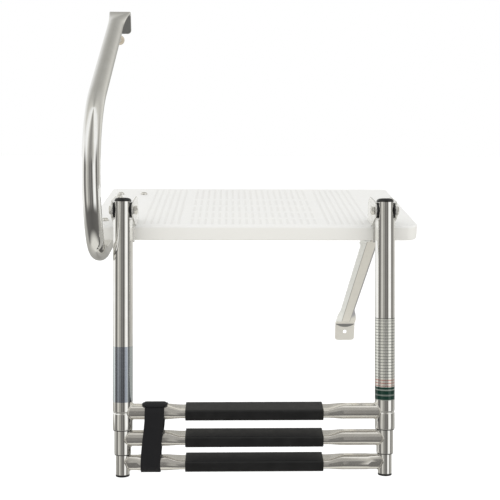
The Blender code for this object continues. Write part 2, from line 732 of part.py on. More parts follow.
def tread_mesh(name):
    """A rubber sleeve over the flat middle of a rung."""
    width, height = RUNG_FLAT
    inner_size = (width + 2 * GAP, height + 2 * GAP)
    grow = 2 * (TREAD_WALL + GAP)
    level = Matrix.Rotation(LEAN, 4, "X")
    rings = []
    for x, extra in ((TREAD_HALF, -0.0012), (TREAD_HALF - 0.0010, 0.0),
                     (-TREAD_HALF + 0.0010, 0.0), (-TREAD_HALF, -0.0012)):
        size = (width + grow + extra, height + grow + extra, TREAD_CORNER)
        rings.append([level @ Vector((x, u, v)) for u, v in rounded(*size, 20)])
    for x in (-TREAD_HALF, TREAD_HALF):
        rings.append([level @ Vector((x, u, v)) for u, v in stadium(*inner_size, 20)])
    return loft(name, rings, True)


def strap_mesh():
    """A webbing loop around the three stacked rungs, centred on the upper one."""
    inside = RUNG_OD + 2 * STRAP_CLEARANCE
    stack = RUNG_LEVELS[0] - RUNG_LEVELS[2]
    rings = []
    for x, size in ((STRAP_WIDTH / 2, 0.0), (STRAP_WIDTH / 2, STRAP_THICKNESS),
                    (-STRAP_WIDTH / 2, STRAP_THICKNESS), (-STRAP_WIDTH / 2, 0.0)):
        ring = stadium(inside + 2 * size, inside + stack + 2 * size, 24)
        rings.append([Vector((x, u, v - stack / 2)) for u, v in ring])
    return loft("strap", rings, True)


def bush_profile(outer_od, inner_od, end):
    """A nylon ring in the mouth of a tube with a lip below its end."""
    outside = outer_od / 2 - WALL - 0.0002
    inside = inner_od / 2 + 0.0002
    return [(inside, end + 0.016), (outside, end + 0.016), (outside, end - GAP),
            (outer_od / 2 - 0.0004, end - GAP), (outer_od / 2 - 0.0004, end - 0.0012),
            (inside, end - 0.0012)]


def slider_profile(outer_od, inner_od, top):
    """A nylon ring capping the hidden top end of a sliding tube."""
    outside = outer_od / 2 - WALL - 0.0002
    inside = inner_od / 2 - WALL
    return [(inside, top + 0.012), (outside, top + 0.012), (outside, top + GAP),
            (inside, top + GAP)]


def foot_profile():
    """The plug in the open lower end of a lower tube."""
    radius = LOWER_OD / 2
    bore = radius - WALL - 0.0003
    return [(0.0, LOWER_END + 0.012), (bore - 0.0005, LOWER_END + 0.012), (bore, LOWER_END + 0.011),
            (bore, LOWER_END - GAP), (radius + 0.0002, LOWER_END - GAP),
            (radius + 0.0002, FOOT_END + 0.001), (radius - 0.001, FOOT_END), (0.0, FOOT_END)]


def ladder():
    upper = empty("ladder_frame", None, PIVOT, (-LEAN, 0, 0))
    middle = empty("middle_frame", upper)
    lower = empty("lower_frame", upper)
    tube = upper_tube_mesh()
    cap = cap_mesh()
    for side, x in (("left", -RAIL_X), ("right", RAIL_X)):
        item = place(f"upper_tube_{side}", tube.copy(), POLISHED, PARTS, upper, (x, 0, 0))
        cut(item, cylinder_tool(f"upper_tube_pin_{side}", PIVOT_HOLE_RADIUS, 0.05, (x, 0, 0), "X",
                                upper))
        place(f"top_cap_{side}", cap.copy(), NYLON, PARTS, upper, (x, 0, 0))
        turned(f"upper_bush_{side}", bush_profile(UPPER_OD, MIDDLE_OD, UPPER_END), NYLON, PARTS,
               upper, (x, 0, 0), closed=True)
        turned(f"middle_tube_{side}", tube_profile(MIDDLE_OD, MIDDLE_TOP, MIDDLE_END), POLISHED,
               PARTS, middle, (x, 0, 0), closed=True)
        turned(f"middle_slider_{side}", slider_profile(UPPER_OD, MIDDLE_OD, MIDDLE_TOP), NYLON,
               PARTS, middle, (x, 0, 0), closed=True)
        turned(f"middle_bush_{side}", bush_profile(MIDDLE_OD, LOWER_OD, MIDDLE_END), NYLON, PARTS,
               middle, (x, 0, 0), closed=True)
        turned(f"lower_tube_{side}", tube_profile(LOWER_OD, LOWER_TOP, LOWER_END), POLISHED,
               PARTS, lower, (x, 0, 0), closed=True)
        turned(f"lower_slider_{side}", slider_profile(MIDDLE_OD, LOWER_OD, LOWER_TOP), NYLON,
               PARTS, lower, (x, 0, 0), closed=True)
        turned(f"foot_cap_{side}", foot_profile(), NYLON, PARTS, lower, (x, 0, 0))
    rung("upper_rung", RUNG_LEVELS[0], UPPER_OD, upper)
    rung("middle_rung", RUNG_LEVELS[1], MIDDLE_OD, middle)
    rung("lower_rung", RUNG_LEVELS[2], LOWER_OD, lower)
    for name, level, frame in zip(("upper_tread", "middle_tread", "lower_tread"), RUNG_LEVELS,
                                  (upper, middle, lower)):
        place(name, tread_mesh(name), RUBBER, PARTS, frame, (0, 0, level))
    place("strap", strap_mesh(), WEBBING, PARTS, upper, (STRAP_X, 0, RUNG_LEVELS[0]))


clear_scene()
PARTS = new_collection(OBJECT)
TOOLS = new_collection(OBJECT + "_cutters")
WHITE = make_material("white_plastic", (0.86, 0.86, 0.84), 0.45, 0.0)
POLISHED = make_material("polished_steel", (0.76, 0.76, 0.75), 0.10, 1.0)
SATIN = make_material("satin_steel", (0.70, 0.69, 0.66), 0.32, 1.0)
RUBBER = make_material("black_rubber", (0.018, 0.018, 0.019), 0.55, 0.0)
NYLON = make_material("black_nylon", (0.025, 0.025, 0.026), 0.42, 0.0)
WEBBING = make_material("black_webbing", (0.020, 0.020, 0.024), 0.85, 0.0)
PAD = make_material("tan_rubber", (0.52, 0.46, 0.38), 0.60, 0.0)
deck()
bracket("left", -RAIL_X)
bracket("right", RAIL_X)
bracket_fasteners()
hinge_pins()
handrail()
handrail_fasteners()
standoff()
strut()
transom_angle()
ladder()
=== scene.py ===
"""Boat boarding platform with a telescoping ladder: visible pieces, materials, light and camera.

Metres, in the CAD's frame: +X right, +Y towards the boat, +Z up, origin at the deck's rear face.
"""

import math

import bmesh
import bpy
from mathutils import Matrix, Vector

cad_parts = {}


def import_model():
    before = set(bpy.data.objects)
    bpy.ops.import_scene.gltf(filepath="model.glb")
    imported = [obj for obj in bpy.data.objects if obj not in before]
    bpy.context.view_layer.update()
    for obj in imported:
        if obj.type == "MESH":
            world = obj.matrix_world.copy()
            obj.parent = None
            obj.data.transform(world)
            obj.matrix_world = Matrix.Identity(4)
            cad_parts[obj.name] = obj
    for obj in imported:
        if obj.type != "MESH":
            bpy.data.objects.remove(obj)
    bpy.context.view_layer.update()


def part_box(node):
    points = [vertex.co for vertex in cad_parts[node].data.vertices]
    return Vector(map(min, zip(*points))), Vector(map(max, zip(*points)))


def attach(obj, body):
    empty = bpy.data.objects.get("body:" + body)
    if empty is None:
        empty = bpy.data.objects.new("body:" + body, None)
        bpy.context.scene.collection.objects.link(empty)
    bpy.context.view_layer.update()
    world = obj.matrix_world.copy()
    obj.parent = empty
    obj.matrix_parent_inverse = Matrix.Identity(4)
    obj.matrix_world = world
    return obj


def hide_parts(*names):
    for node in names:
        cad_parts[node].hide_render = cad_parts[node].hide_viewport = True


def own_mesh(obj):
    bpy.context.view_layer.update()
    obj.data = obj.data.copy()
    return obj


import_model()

# Sizes of the CAD, in metres
LEAN = math.radians(15.7)
PIVOT = Vector((0.0, -0.3284, 0.0435))
LADDER = Matrix.Translation(PIVOT) @ Matrix.Rotation(-LEAN, 4, "X")
RAIL_X = 0.2134
SIDES = (("left", -RAIL_X), ("right", RAIL_X))
DECK = Vector((0.553, 0.311, 0.025))
DECK_FRONT_RADIUS = 0.022
DECK_REAR_RADIUS = 0.007
DECK_EDGE = 0.0028
UPPER_R, MIDDLE_R, LOWER_R = 0.015875, 0.0135, 0.0111
WALL = 0.0012
UPPER_TOP, UPPER_END = 0.0133, -0.3553
MIDDLE_TOP, MIDDLE_END = -0.042, -0.3950
LOWER_TOP, LOWER_END = -0.074, -0.4283
FOOT_END = -0.4315
BUSH, SLIDER = 0.016, 0.012
CRIMP_Z = -0.3275
FLAT_HALF_X, FLAT_BOTTOM = 0.0118, -0.0140
RUNG_R = 0.0127
RUNG_LEVELS = (-0.3270, -0.3700, -0.4096)
RUNG_FLAT = (0.0300, 0.0156)
RUNG_END, RUNG_TIP, WELD_LIFT = 0.190, 0.0184, 0.0001
RUNG_ROUND_FROM, RUNG_FLAT_FROM = 0.146, 0.1175
TREAD_HALF, TREAD_WALL, TREAD_CORNER, TREAD_EDGE = 0.1116, 0.0017, 0.0036, 0.0011
EAR_INNER, EAR_OUTER, EAR_RADIUS = 0.0162, 0.0180, 0.0155
BOSS_RADIUS, BOSS_HEIGHT = 0.0129, 0.0010
BRACKET_REAR = -0.268
PIN_HOLE = 0.0043
HANDRAIL_X, HANDRAIL_OD, HANDRAIL_WALL = -0.2525, 0.0286, 0.0016
HANDRAIL_BOLT_Y = (-0.272, -0.087)
TAB_WIDTH, TAB_DEPTH, TAB_BOTTOM, TAB_HOLE_Z, TAB_SHIFT = 0.040, 0.004, 0.3145, 0.3370, 0.003
TAB_BEND, TAB_LIFT, TAB_CORNER, FLARE = 0.0035, 0.0048, 0.007, 0.052
STRUT_X, STRUT_PLATE, STRUT_WEB_HALF, STRUT_FLANGE = 0.2045, 0.002, 0.0085, 0.0115
STRUT_BEND, STRUT_FOLD, STRUT_FOLD_RADIUS = 0.004, math.radians(64), 0.0026
STRUT_NOSE = 0.0006
STRUT_FRONT, STRUT_KNEE, STRUT_BOTTOM, STRUT_HOLE_Z = -0.3085, -0.2840, -0.316, -0.297
ANGLE_X, ANGLE_PLATE, ANGLE_LEG, ANGLE_DROP = (-0.272, -0.190), 0.0025, 0.070, -0.056
ANGLE_BOLTS, ANGLE_BOLT_Y = (-0.2530, -0.2085), -0.0578
ANGLE_HOLE_Z = -0.0385
BRACKET_BOLT_Y, BRACKET_SCREW_Y = -0.2965, -0.2785
BOLT_HOLE, SCREW_HOLE, MOUNT_HOLE = 0.0034, 0.0024, 0.0041
STRAP_X = -0.161
STRUT_TAB_Z = -0.2790
LEFT_FILM, RIGHT_FILM, GREEN_TOP = (-0.2206, -0.3100), (-0.1748, -0.3078), -0.2865
GAP = 0.0003
FINE = 72


# ---------------------------------------------------------------- node helpers
def add(tree, kind, inputs=None, **settings):
    node = tree.nodes.new("ShaderNode" + kind)
    for key, value in settings.items():
        setattr(node, key, value)
    for key, value in (inputs or {}).items():
        socket = node.inputs[key]
        if isinstance(value, bpy.types.NodeSocket):
            tree.links.new(value, socket)
        else:
            socket.default_value = value
    return node


def math_node(tree, operation, a, b=0.0):
    return add(tree, "Math", {0: a, 1: b}, operation=operation).outputs[0]


def times(tree, a, b):
    return math_node(tree, "MULTIPLY", a, b)


def plus(tree, a, b):
    return math_node(tree, "ADD", a, b)


def minus(tree, a, b):
    return math_node(tree, "SUBTRACT", a, b)


def size_of(tree, a):
    return math_node(tree, "ABSOLUTE", a)


def split(tree, vector):
    """A vector's X, Y and Z sockets."""
    return add(tree, "SeparateXYZ", {0: vector}).outputs


def to_range(tree, value, low, high, new_low, new_high, smooth=False):
    kind = "SMOOTHSTEP" if smooth else "LINEAR"
    return add(tree, "MapRange", {0: value, 1: low, 2: high, 3: new_low, 4: new_high},
               interpolation_type=kind).outputs[0]


def linear(level):
    """A display level from 0 to 255 as linear light."""
    share = level / 255
    return share / 12.92 if share <= 0.04045 else ((share + 0.055) / 1.055) ** 2.4


def ramp(tree, factor, stops):
    """A colour ramp from (place, colour) stops; its colour output."""
    node = add(tree, "ValToRGB", {"Fac": factor})
    elements = node.color_ramp.elements
    elements[0].position, elements[-1].position = stops[0][0], stops[-1][0]
    elements[0].color, elements[-1].color = (*stops[0][1], 1.0), (*stops[-1][1], 1.0)
    for place, colour in stops[1:-1]:
        elements.new(place).color = (*colour, 1.0)
    return node.outputs["Color"]


def mix(tree, factor, a, b, blend="MIX"):
    return add(tree, "Mix", {0: factor, 6: a, 7: b}, data_type="RGBA", blend_type=blend).outputs[2]


def object_space(tree, scale=(1, 1, 1), rotation=(0, 0, 0), location=(0, 0, 0)):
    place = add(tree, "TexCoord")
    return add(tree, "Mapping", {"Vector": place.outputs["Object"], "Scale": scale,
                                 "Rotation": rotation, "Location": location}).outputs[0]


def noise(tree, vector, scale, detail=3.0, roughness=0.55):
    return add(tree, "TexNoise", {"Vector": vector, "Scale": scale, "Detail": detail,
                                  "Roughness": roughness}).outputs["Fac"]


def drawn_lines(tree, vector, grain):
    """Noise stretched into the lines that drawing or brushing leaves."""
    drawn = add(tree, "VectorMath", {0: vector, 1: grain}, operation="MULTIPLY").outputs[0]
    return noise(tree, drawn, 1.0, 4.0, 0.6)


def new_material(name, **values):
    mat = bpy.data.materials.new(name)
    mat.use_nodes = True
    shader = mat.node_tree.nodes["Principled BSDF"]
    for key, value in values.items():
        shader.inputs[key.replace("_", " ")].default_value = value
    return mat, mat.node_tree, shader


def connect(tree, value, socket):
    tree.links.new(value, socket)


def bumps(tree, shader, layers):
    """Stack bump layers given as (height, strength, distance)."""
    normal = None
    for height, strength, distance in layers:
        inputs = {"Height": height, "Strength": strength, "Distance": distance}
        if normal is not None:
            inputs["Normal"] = normal
        normal = add(tree, "Bump", inputs).outputs[0]
    connect(tree, normal, shader.inputs["Normal"])


LEVEL = (0, 0, 0)
DOWN_LADDER = (LEAN, 0, 0)


def steel_nodes(name, colour, low, high, grain, rotation=LEVEL, scratch=0.35, wave=0.05,
                metal=1.0):
    """Stainless steel: drawn grain along one axis, cloudy gloss, faint handling marks."""
    mat, tree, shader = new_material(name, Metallic=metal)
    plain = object_space(tree)
    lines = drawn_lines(tree, object_space(tree, rotation=rotation), grain)
    cloud = noise(tree, plain, 55.0, 4.0, 0.6)
    marks = noise(tree, plain, 420.0, 2.0, 0.5)
    darker = tuple(c * f for c, f in zip(colour, (0.94, 0.935, 0.92)))
    base = mix(tree, to_range(tree, cloud, 0.3, 0.7, 0, 1), (*colour, 1), (*darker, 1))
    base = mix(tree, to_range(tree, marks, 0.70, 0.80, 0, 0.25), base, (0.50, 0.49, 0.46, 1))
    connect(tree, base, shader.inputs["Base Color"])
    gloss = plus(tree, to_range(tree, cloud, 0.3, 0.75, low, high),
                 to_range(tree, lines, 0.35, 0.75, 0, high * scratch))
    connect(tree, gloss, shader.inputs["Roughness"])
    swell = noise(tree, plain, 38.0, 1.0, 0.4)
    bumps(tree, shader, [(lines, scratch * 0.4, 0.00003), (swell, wave, 0.0012)])
    return mat, tree, shader


def steel(*values, **settings):
    return steel_nodes(*values, **settings)[0]


def rail_steel():
    """Polished steel, with painted shade on the inner face of the rail's folded tab: dark and dull
    there.
    """
    mat, tree, shader = steel_nodes("polished_rail", (0.94, 0.94, 0.93), 0.03, 0.07,
                                    (700, 300, 300), LEVEL, 0.2, 0.03)
    _, y, z = split(tree, object_space(tree))
    # painted shade: mask of the tab's inner face, made dark and dull below
    inner = to_range(tree, size_of(tree, plus(tree, y, TAB_DEPTH)), 0.0004, 0.0009, 1, 0, True)
    inner = times(tree, inner, to_range(tree, z, 0.3470, 0.3490, 1, 0, True))
    base, gloss = shader.inputs["Base Color"], shader.inputs["Roughness"]
    polished, smoothness = base.links[0].from_socket, gloss.links[0].from_socket
    connect(tree, mix(tree, inner, polished, (0.125, 0.125, 0.120, 1)), base)
    connect(tree, plus(tree, smoothness, times(tree, inner, 0.5)), gloss)
    connect(tree, to_range(tree, inner, 0, 1, 1.0, 0.1), shader.inputs["Metallic"])
    return mat


def moulded_white():
    """Light-stable white plastic with a fine cast grain, and painted shade: darker grooves and darker,
    warmer side faces.
    """
    mat, tree, shader = new_material("white_moulding", IOR=1.49)
    plain = object_space(tree)
    cloud = noise(tree, plain, 14.0, 5.0, 0.6)
    grain = noise(tree, plain, 2400.0, 2.0, 0.6)
    fine = add(tree, "TexVoronoi", {"Vector": plain, "Scale": 1500.0}).outputs["Distance"]
    specks = noise(tree, plain, 520.0, 1.0, 0.5)
    base = mix(tree, to_range(tree, cloud, 0.35, 0.7, 0, 1),
               (0.775, 0.775, 0.760, 1), (0.755, 0.753, 0.732, 1))
    base = mix(tree, to_range(tree, specks, 0.72, 0.80, 0, 0.35), base, (0.58, 0.57, 0.53, 1))
    height, top = split(tree, plain)["Z"], DECK.z / 2
    # painted shade: darker at the bottom of the grooves
    groove = times(tree, to_range(tree, height, top - 0.0006, top - 0.0001, 0.46, 0, True),
                   to_range(tree, height, top - 0.0010, top - 0.0008, 0, 1))
    base = mix(tree, groove, base, (0.66, 0.655, 0.63, 1))
    # painted shade: the side faces below the top edge made darker and warmer
    side = to_range(tree, height, top - 0.0040, top - 0.0022, 0.55, 0, True)
    base = mix(tree, side, base, (0.735, 0.725, 0.685, 1))
    connect(tree, base, shader.inputs["Base Color"])
    connect(tree, to_range(tree, cloud, 0.3, 0.7, 0.36, 0.50), shader.inputs["Roughness"])
    bumps(tree, shader, [(grain, 0.25, 0.0002), (fine, 0.12, 0.0002)])
    return mat


def black_soft(name, colour, dust, low, high, grain, relief):
    """Black rubber or nylon: fine grain, a little dust and rubbed patches."""
    mat, tree, shader = new_material(name, IOR=1.5)
    plain = object_space(tree)
    cloud = noise(tree, plain, 60.0, 5.0, 0.65)
    fine = noise(tree, plain, grain, 3.0, 0.6)
    base = mix(tree, to_range(tree, cloud, 0.45, 0.8, 0, 1), (*colour, 1), (*dust, 1))
    flecks = tuple(c * 1.6 for c in dust)
    base = mix(tree, to_range(tree, fine, 0.66, 0.78, 0, 0.5), base, (*flecks, 1))
    connect(tree, base, shader.inputs["Base Color"])
    connect(tree, to_range(tree, cloud, 0.3, 0.7, low, high), shader.inputs["Roughness"])
    bumps(tree, shader, [(fine, relief, 0.0003)])
    return mat


def webbing():
    """Black woven webbing: herringbone ribs along X and across, with fuzz."""
    mat, tree, shader = new_material("black_webbing", IOR=1.45, Roughness=0.8, Sheen_Weight=0.04)
    x, _, z = split(tree, object_space(tree, rotation=DOWN_LADDER))
    fold = math_node(tree, "PINGPONG", plus(tree, x, 0.5), 0.004)
    slant = plus(tree, times(tree, fold, 1.2), z)
    rib = math_node(tree, "SINE", times(tree, slant, 2 * math.pi / 0.0016))
    yarn = math_node(tree, "SINE", times(tree, x, 2 * math.pi / 0.0010))
    weave = to_range(tree, plus(tree, rib, times(tree, yarn, 0.6)), -1.6, 1.6, 0, 1)
    fuzz = noise(tree, object_space(tree), 1600.0, 3.0, 0.7)
    base = mix(tree, weave, (0.0028, 0.0028, 0.0038, 1), (0.0080, 0.0080, 0.0104, 1))
    base = mix(tree, to_range(tree, fuzz, 0.62, 0.8, 0, 0.5), base, (0.022, 0.022, 0.026, 1))
    connect(tree, base, shader.inputs["Base Color"])
    bumps(tree, shader, [(weave, 0.7, 0.0004), (fuzz, 0.2, 0.0002)])
    return mat


def strut_satin_with_painted_shade():
    """Satin plate with painted light and shade: a painted lit left flange, a painted shaded right
    flange, painted shade along the fold lines and a painted dark crescent of shade in the tab's bend.
    """
    mat, tree, shader = new_material("satin_strut", Metallic=0.25)
    plain = object_space(tree)
    x, _, z = split(tree, plain)
    side = minus(tree, x, STRUT_X)
    cloud = noise(tree, plain, 55.0, 4.0, 0.6)
    base = mix(tree, cloud, (0.84, 0.82, 0.755, 1), (0.77, 0.75, 0.69, 1))
    folded = to_range(tree, z, STRUT_TAB_Z + 0.006, STRUT_TAB_Z + 0.012, 0, 1, True)
    steep = to_range(tree, z, STRUT_TAB_Z + 0.014, STRUT_TAB_Z + 0.034, 0, 1, True)
    left = to_range(tree, side, -STRUT_WEB_HALF, -STRUT_WEB_HALF + 0.0006, 1, 0)
    right = to_range(tree, side, STRUT_WEB_HALF - 0.0006, STRUT_WEB_HALF, 0, 1)
    # painted light: the left flange made lighter above the tab's fold
    base = mix(tree, times(tree, left, folded), base, (0.92, 0.93, 0.90, 1))
    # painted shade: the right flange made darker higher up the strut
    base = mix(tree, times(tree, right, steep), base, (0.40, 0.40, 0.42, 1))
    # painted shade: dark lines along the folds between web and flanges
    edge = size_of(tree, minus(tree, size_of(tree, side), STRUT_WEB_HALF - 0.0002))
    edge = times(tree, to_range(tree, edge, 0.0004, 0.0011, 0.75, 0), folded)
    base = mix(tree, edge, base, (0.42, 0.415, 0.38, 1))
    # painted shade: a dark crescent in the bend above the tab
    bow = math_node(tree, "POWER", math_node(tree, "DIVIDE", side, 0.0205), 2.0)
    bow = times(tree, minus(tree, 1.15, bow), 0.0072)
    depth = minus(tree, STRUT_TAB_Z + 0.0004, z)
    crescent = times(tree, to_range(tree, depth, 0.0, 0.0008, 0, 1),
                     to_range(tree, minus(tree, bow, depth), 0.0, 0.0012, 0, 1))
    base = mix(tree, crescent, base, (0.25, 0.25, 0.24, 1))
    connect(tree, base, shader.inputs["Base Color"])
    connect(tree, to_range(tree, cloud, 0.3, 0.75, 0.28, 0.42), shader.inputs["Roughness"])
    bumps(tree, shader, [(drawn_lines(tree, plain, (2200, 90, 90)), 0.2, 0.00003)])
    return mat


def tan_pad():
    """Tan rubber with a fine grain."""
    mat, tree, shader = new_material("tan_rubber", IOR=1.5)
    plain = object_space(tree)
    cloud = noise(tree, plain, 160.0, 4.0, 0.6)
    base = mix(tree, cloud, (0.44, 0.38, 0.30, 1), (0.62, 0.56, 0.46, 1))
    connect(tree, base, shader.inputs["Base Color"])
    connect(tree, to_range(tree, cloud, 0.3, 0.7, 0.5, 0.7), shader.inputs["Roughness"])
    bumps(tree, shader, [(noise(tree, plain, 1500.0, 2.0, 0.6), 0.3, 0.0003)])
    return mat


def ladder_space(tree):
    """Coordinates in the ladder's own frame: X across, Z up the tube from the pivot."""
    back = Matrix.Rotation(LEAN, 3, "X") @ PIVOT
    return object_space(tree, rotation=DOWN_LADDER, location=tuple(-back))


def every(tree, value, half_pitch, near, far, high, low):
    """A mask that is high on evenly spaced lines and low between them."""
    away = math_node(tree, "PINGPONG", plus(tree, value, 1.0), half_pitch)
    return to_range(tree, away, near, far, high, low)


def film_left():
    """Clear bluish film with faint dotted columns, and a painted reflection that makes it paler
    towards the tube's sides.
    """
    mat, tree, shader = new_material("film_blue", Metallic=0.95)
    x, _, z = split(tree, ladder_space(tree))
    dots = times(tree, every(tree, x, 0.0016, 0.0003, 0.0006, 1, 0),
                 every(tree, z, 0.0011, 0.0003, 0.0006, 1, 0))
    cloud = noise(tree, object_space(tree), 130.0, 4.0, 0.6)
    base = mix(tree, cloud, (0.38, 0.41, 0.47, 1), (0.47, 0.50, 0.56, 1))
    base = mix(tree, times(tree, dots, 0.85), base, (0.12, 0.15, 0.20, 1))
    fade = to_range(tree, z, LEFT_FILM[1], LEFT_FILM[0], 0.45, 0)
    base = mix(tree, fade, base, (0.24, 0.265, 0.31, 1))
    # painted reflection: paler towards the tube's sides
    side = to_range(tree, size_of(tree, plus(tree, x, RAIL_X)), 0.0075, 0.0125, 0, 0.75, True)
    base = mix(tree, side, base, (0.80, 0.86, 0.87, 1))
    connect(tree, base, shader.inputs["Base Color"])
    connect(tree, to_range(tree, cloud, 0.3, 0.7, 0.08, 0.16), shader.inputs["Roughness"])
    return mat


def film_right():
    """Lined film: fine grey rules, a few reddish ones, and a dark green band at its foot."""
    mat, tree, shader = new_material("film_lined", Roughness=0.12)
    z = split(tree, ladder_space(tree))["Z"]
    rules = every(tree, z, 0.0024, 0.0003, 0.0007, 0.70, 0)
    cloud = noise(tree, object_space(tree), 130.0, 4.0, 0.6)
    base = mix(tree, cloud, (0.74, 0.745, 0.69, 1), (0.84, 0.84, 0.79, 1))
    base = mix(tree, rules, base, (0.16, 0.17, 0.17, 1))
    red = times(tree, to_range(tree, z, GREEN_TOP, GREEN_TOP + 0.0025, 0, 1, True),
                to_range(tree, z, GREEN_TOP + 0.0120, GREEN_TOP + 0.0140, 1, 0, True))
    for share in (rules, 0.12):
        base = mix(tree, times(tree, red, share), base, (0.62, 0.16, 0.10, 1))
    green = to_range(tree, z, GREEN_TOP - 0.0003, GREEN_TOP + 0.0003, 1, 0)
    stripe = every(tree, minus(tree, z, GREEN_TOP), 0.0042, 0.0026, 0.0036, 1, 0.72)
    base = mix(tree, times(tree, green, stripe), base, (0.005, 0.036, 0.024, 1))
    top = to_range(tree, z, RIGHT_FILM[0] - 0.0014, RIGHT_FILM[0] - 0.0010, 0, 0.8)
    base = mix(tree, top, base, (0.10, 0.10, 0.10, 1))
    connect(tree, base, shader.inputs["Base Color"])
    connect(tree, to_range(tree, green, 0, 1, 0.75, 0.2), shader.inputs["Metallic"])
    return mat


# ---------------------------------------------------------------- mesh helpers
def skin(shape, rings, cyclic=False, capped=True):
    """Skin a stack of closed rings; a ring of one point is a pole."""
    rows = [[shape.verts.new(point) for point in ring] for ring in rings]
    following = rows[1:] + (rows[:1] if cyclic else [])
    for low, high in zip(rows, following):
        count = max(len(low), len(high))
        for k in range(count):
            j = (k + 1) % count
            quad = (low[k % len(low)], low[j % len(low)], high[j % len(high)], high[k % len(high)])
            shape.faces.new(list(dict.fromkeys(quad)))
    if capped and not cyclic:
        for row in (rows[0], rows[-1]):
            if len(row) > 2:
                shape.faces.new(row)


def bridge(shape, low, high):
    """Quads between two closed rows of vertices."""
    for k in range(len(low)):
        j = (k + 1) % len(low)
        shape.faces.new((low[k], low[j], high[j], high[k]))


def on_ladder(x=0.0, z=0.0):
    """The matrix that puts a piece made about local Z on the ladder."""
    return LADDER @ Matrix.Translation((x, 0, z))


def quarter(steps):
    """Evenly spaced angles from 0 to 90 degrees."""
    return [math.pi / 2 * i / steps for i in range(steps + 1)]


def direction(angle):
    return Vector((math.cos(angle), math.sin(angle)))


def circle(radius, count=FINE):
    return [tuple(radius * direction(2 * math.pi * i / count)) for i in range(count)]


def stadium(width, height, count=FINE):
    """Two half circles joined by flats; round when width is height."""
    radius = min(width, height) / 2
    ring = []
    for i in range(count):
        x, y = radius * direction(2 * math.pi * (i + 0.5) / count)
        ring.append((x + math.copysign(width / 2 - radius, x),
                     y + math.copysign(height / 2 - radius, y)))
    return ring


def rounded(width, height, radius, count=FINE):
    """A rectangle with rounded corners."""
    return [(x + math.copysign(width / 2 - radius, x), y + math.copysign(height / 2 - radius, y))
            for x, y in stadium(2 * radius, 2 * radius, count)]


def arc(centre, radius, start, end, steps):
    """Points on an arc between two angles in degrees."""
    return [tuple(Vector(centre) + radius * direction(math.radians(start + (end - start) * i / steps)))
            for i in range(steps + 1)]


def raised(ring, z):
    return [Vector((x, y, z)) for x, y in ring]


def lathe(profile, count=FINE):
    """Rings about Z from (radius, height) points; a zero radius is a pole."""
    return [[Vector((0, 0, z))] if r == 0 else raised(circle(r, count), z) for r, z in profile]


def soft_corner(points, radius, steps=4):
    """Round each inner corner of an open profile."""
    out = [points[0]]
    for before, here, after in zip(points, points[1:], points[2:]):
        a, b, c = Vector(before), Vector(here), Vector(after)
        reach = min(radius, (a - b).length / 2.01, (c - b).length / 2.01)
        start, end = b + (a - b).normalized() * reach, b + (c - b).normalized() * reach
        for i in range(steps + 1):
            t = i / steps
            out.append(tuple(start * (1 - t) ** 2 + b * 2 * t * (1 - t) + end * t * t))
    out.append(points[-1])
    return out


def loose(name, shape):
    """A linked object made from a bmesh, which is freed."""
    mesh = bpy.data.meshes.new(name)
    shape.to_mesh(mesh)
    shape.free()
    obj = bpy.data.objects.new(name, mesh)
    bpy.context.scene.collection.objects.link(obj)
    return obj


def piece(name, shape, material, body, nodes, matrix=None, crease=32):
    """Turn a bmesh into a finished piece that rides on a body and stands for CAD nodes."""
    bmesh.ops.recalc_face_normals(shape, faces=shape.faces)
    if matrix is not None:
        shape.transform(matrix)
    obj = loose(name, shape)
    obj.data.shade_smooth()
    obj.data.set_sharp_from_angle(angle=math.radians(crease))
    obj.data.materials.append(material)
    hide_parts(*nodes)
    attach(obj, body)
    return obj


def rounded_edges(obj, width, segments):
    step = obj.modifiers.new("edges", "BEVEL")
    step.width, step.segments = width, segments
    step.limit_method, step.angle_limit = "ANGLE", math.radians(40)


def flat_normals(obj):
    """Shade large faces flat and leave the gradient to the small ones between them."""
    obj.modifiers.new("flat_normals", "WEIGHTED_NORMAL").keep_sharp = True


def drilled(shape, holes):
    """Cut round holes, given as (centre, axis, radius, depth), and return the new bmesh."""
    bmesh.ops.recalc_face_normals(shape, faces=shape.faces)
    blank = loose("blank", shape)
    cutters = bmesh.new()
    turn = {"X": Matrix.Rotation(math.pi / 2, 4, "Y"), "Y": Matrix.Rotation(math.pi / 2, 4, "X"),
            "Z": Matrix.Identity(4)}
    for centre, axis, radius, depth in holes:
        bmesh.ops.create_cone(cutters, cap_ends=True, segments=40, radius1=radius, radius2=radius,
                              depth=depth, matrix=Matrix.Translation(centre) @ turn[axis])
    drill = loose("drill", cutters)
    step = blank.modifiers.new("cut", "BOOLEAN")
    step.operation, step.solver, step.object = "DIFFERENCE", "EXACT", drill
    cut = bpy.data.meshes.new_from_object(
        blank.evaluated_get(bpy.context.evaluated_depsgraph_get()))
    for obj in (blank, drill):
        bpy.data.objects.remove(obj)
    result = bmesh.new()
    result.from_mesh(cut)
    return result


def plate(shape, outline, thickness, matrix, holes=()):
    """A flat plate from a 2D outline with round holes, centred on local Z = 0."""
    loops = [outline] + [[(x + u, y + v) for u, v in circle(r, 40)] for x, y, r in holes]
    sides = [[[shape.verts.new(matrix @ Vector((x, y, z))) for x, y in loop] for loop in loops]
             for z in (-thickness / 2, thickness / 2)]
    for low, high in zip(*sides):
        bridge(shape, low, high)
    for rows in sides:
        fill(shape, rows)


def fill(shape, rows):
    """Fill the flat area between an outer row of vertices and the rows inside it."""
    edges = []
    for row in rows:
        for pair in zip(row, row[1:] + row[:1]):
            edges.append(shape.edges.get(pair) or shape.edges.new(pair))
    bmesh.ops.triangle_fill(shape, use_beauty=True, edges=edges)


SIDEWAYS = Matrix(((0, 0, 1, 0), (1, 0, 0, 0), (0, 1, 0, 0), (0, 0, 0, 1)))


def smooth(t):
    t = max(0.0, min(1.0, t))
    return t * t * (3 - 2 * t)


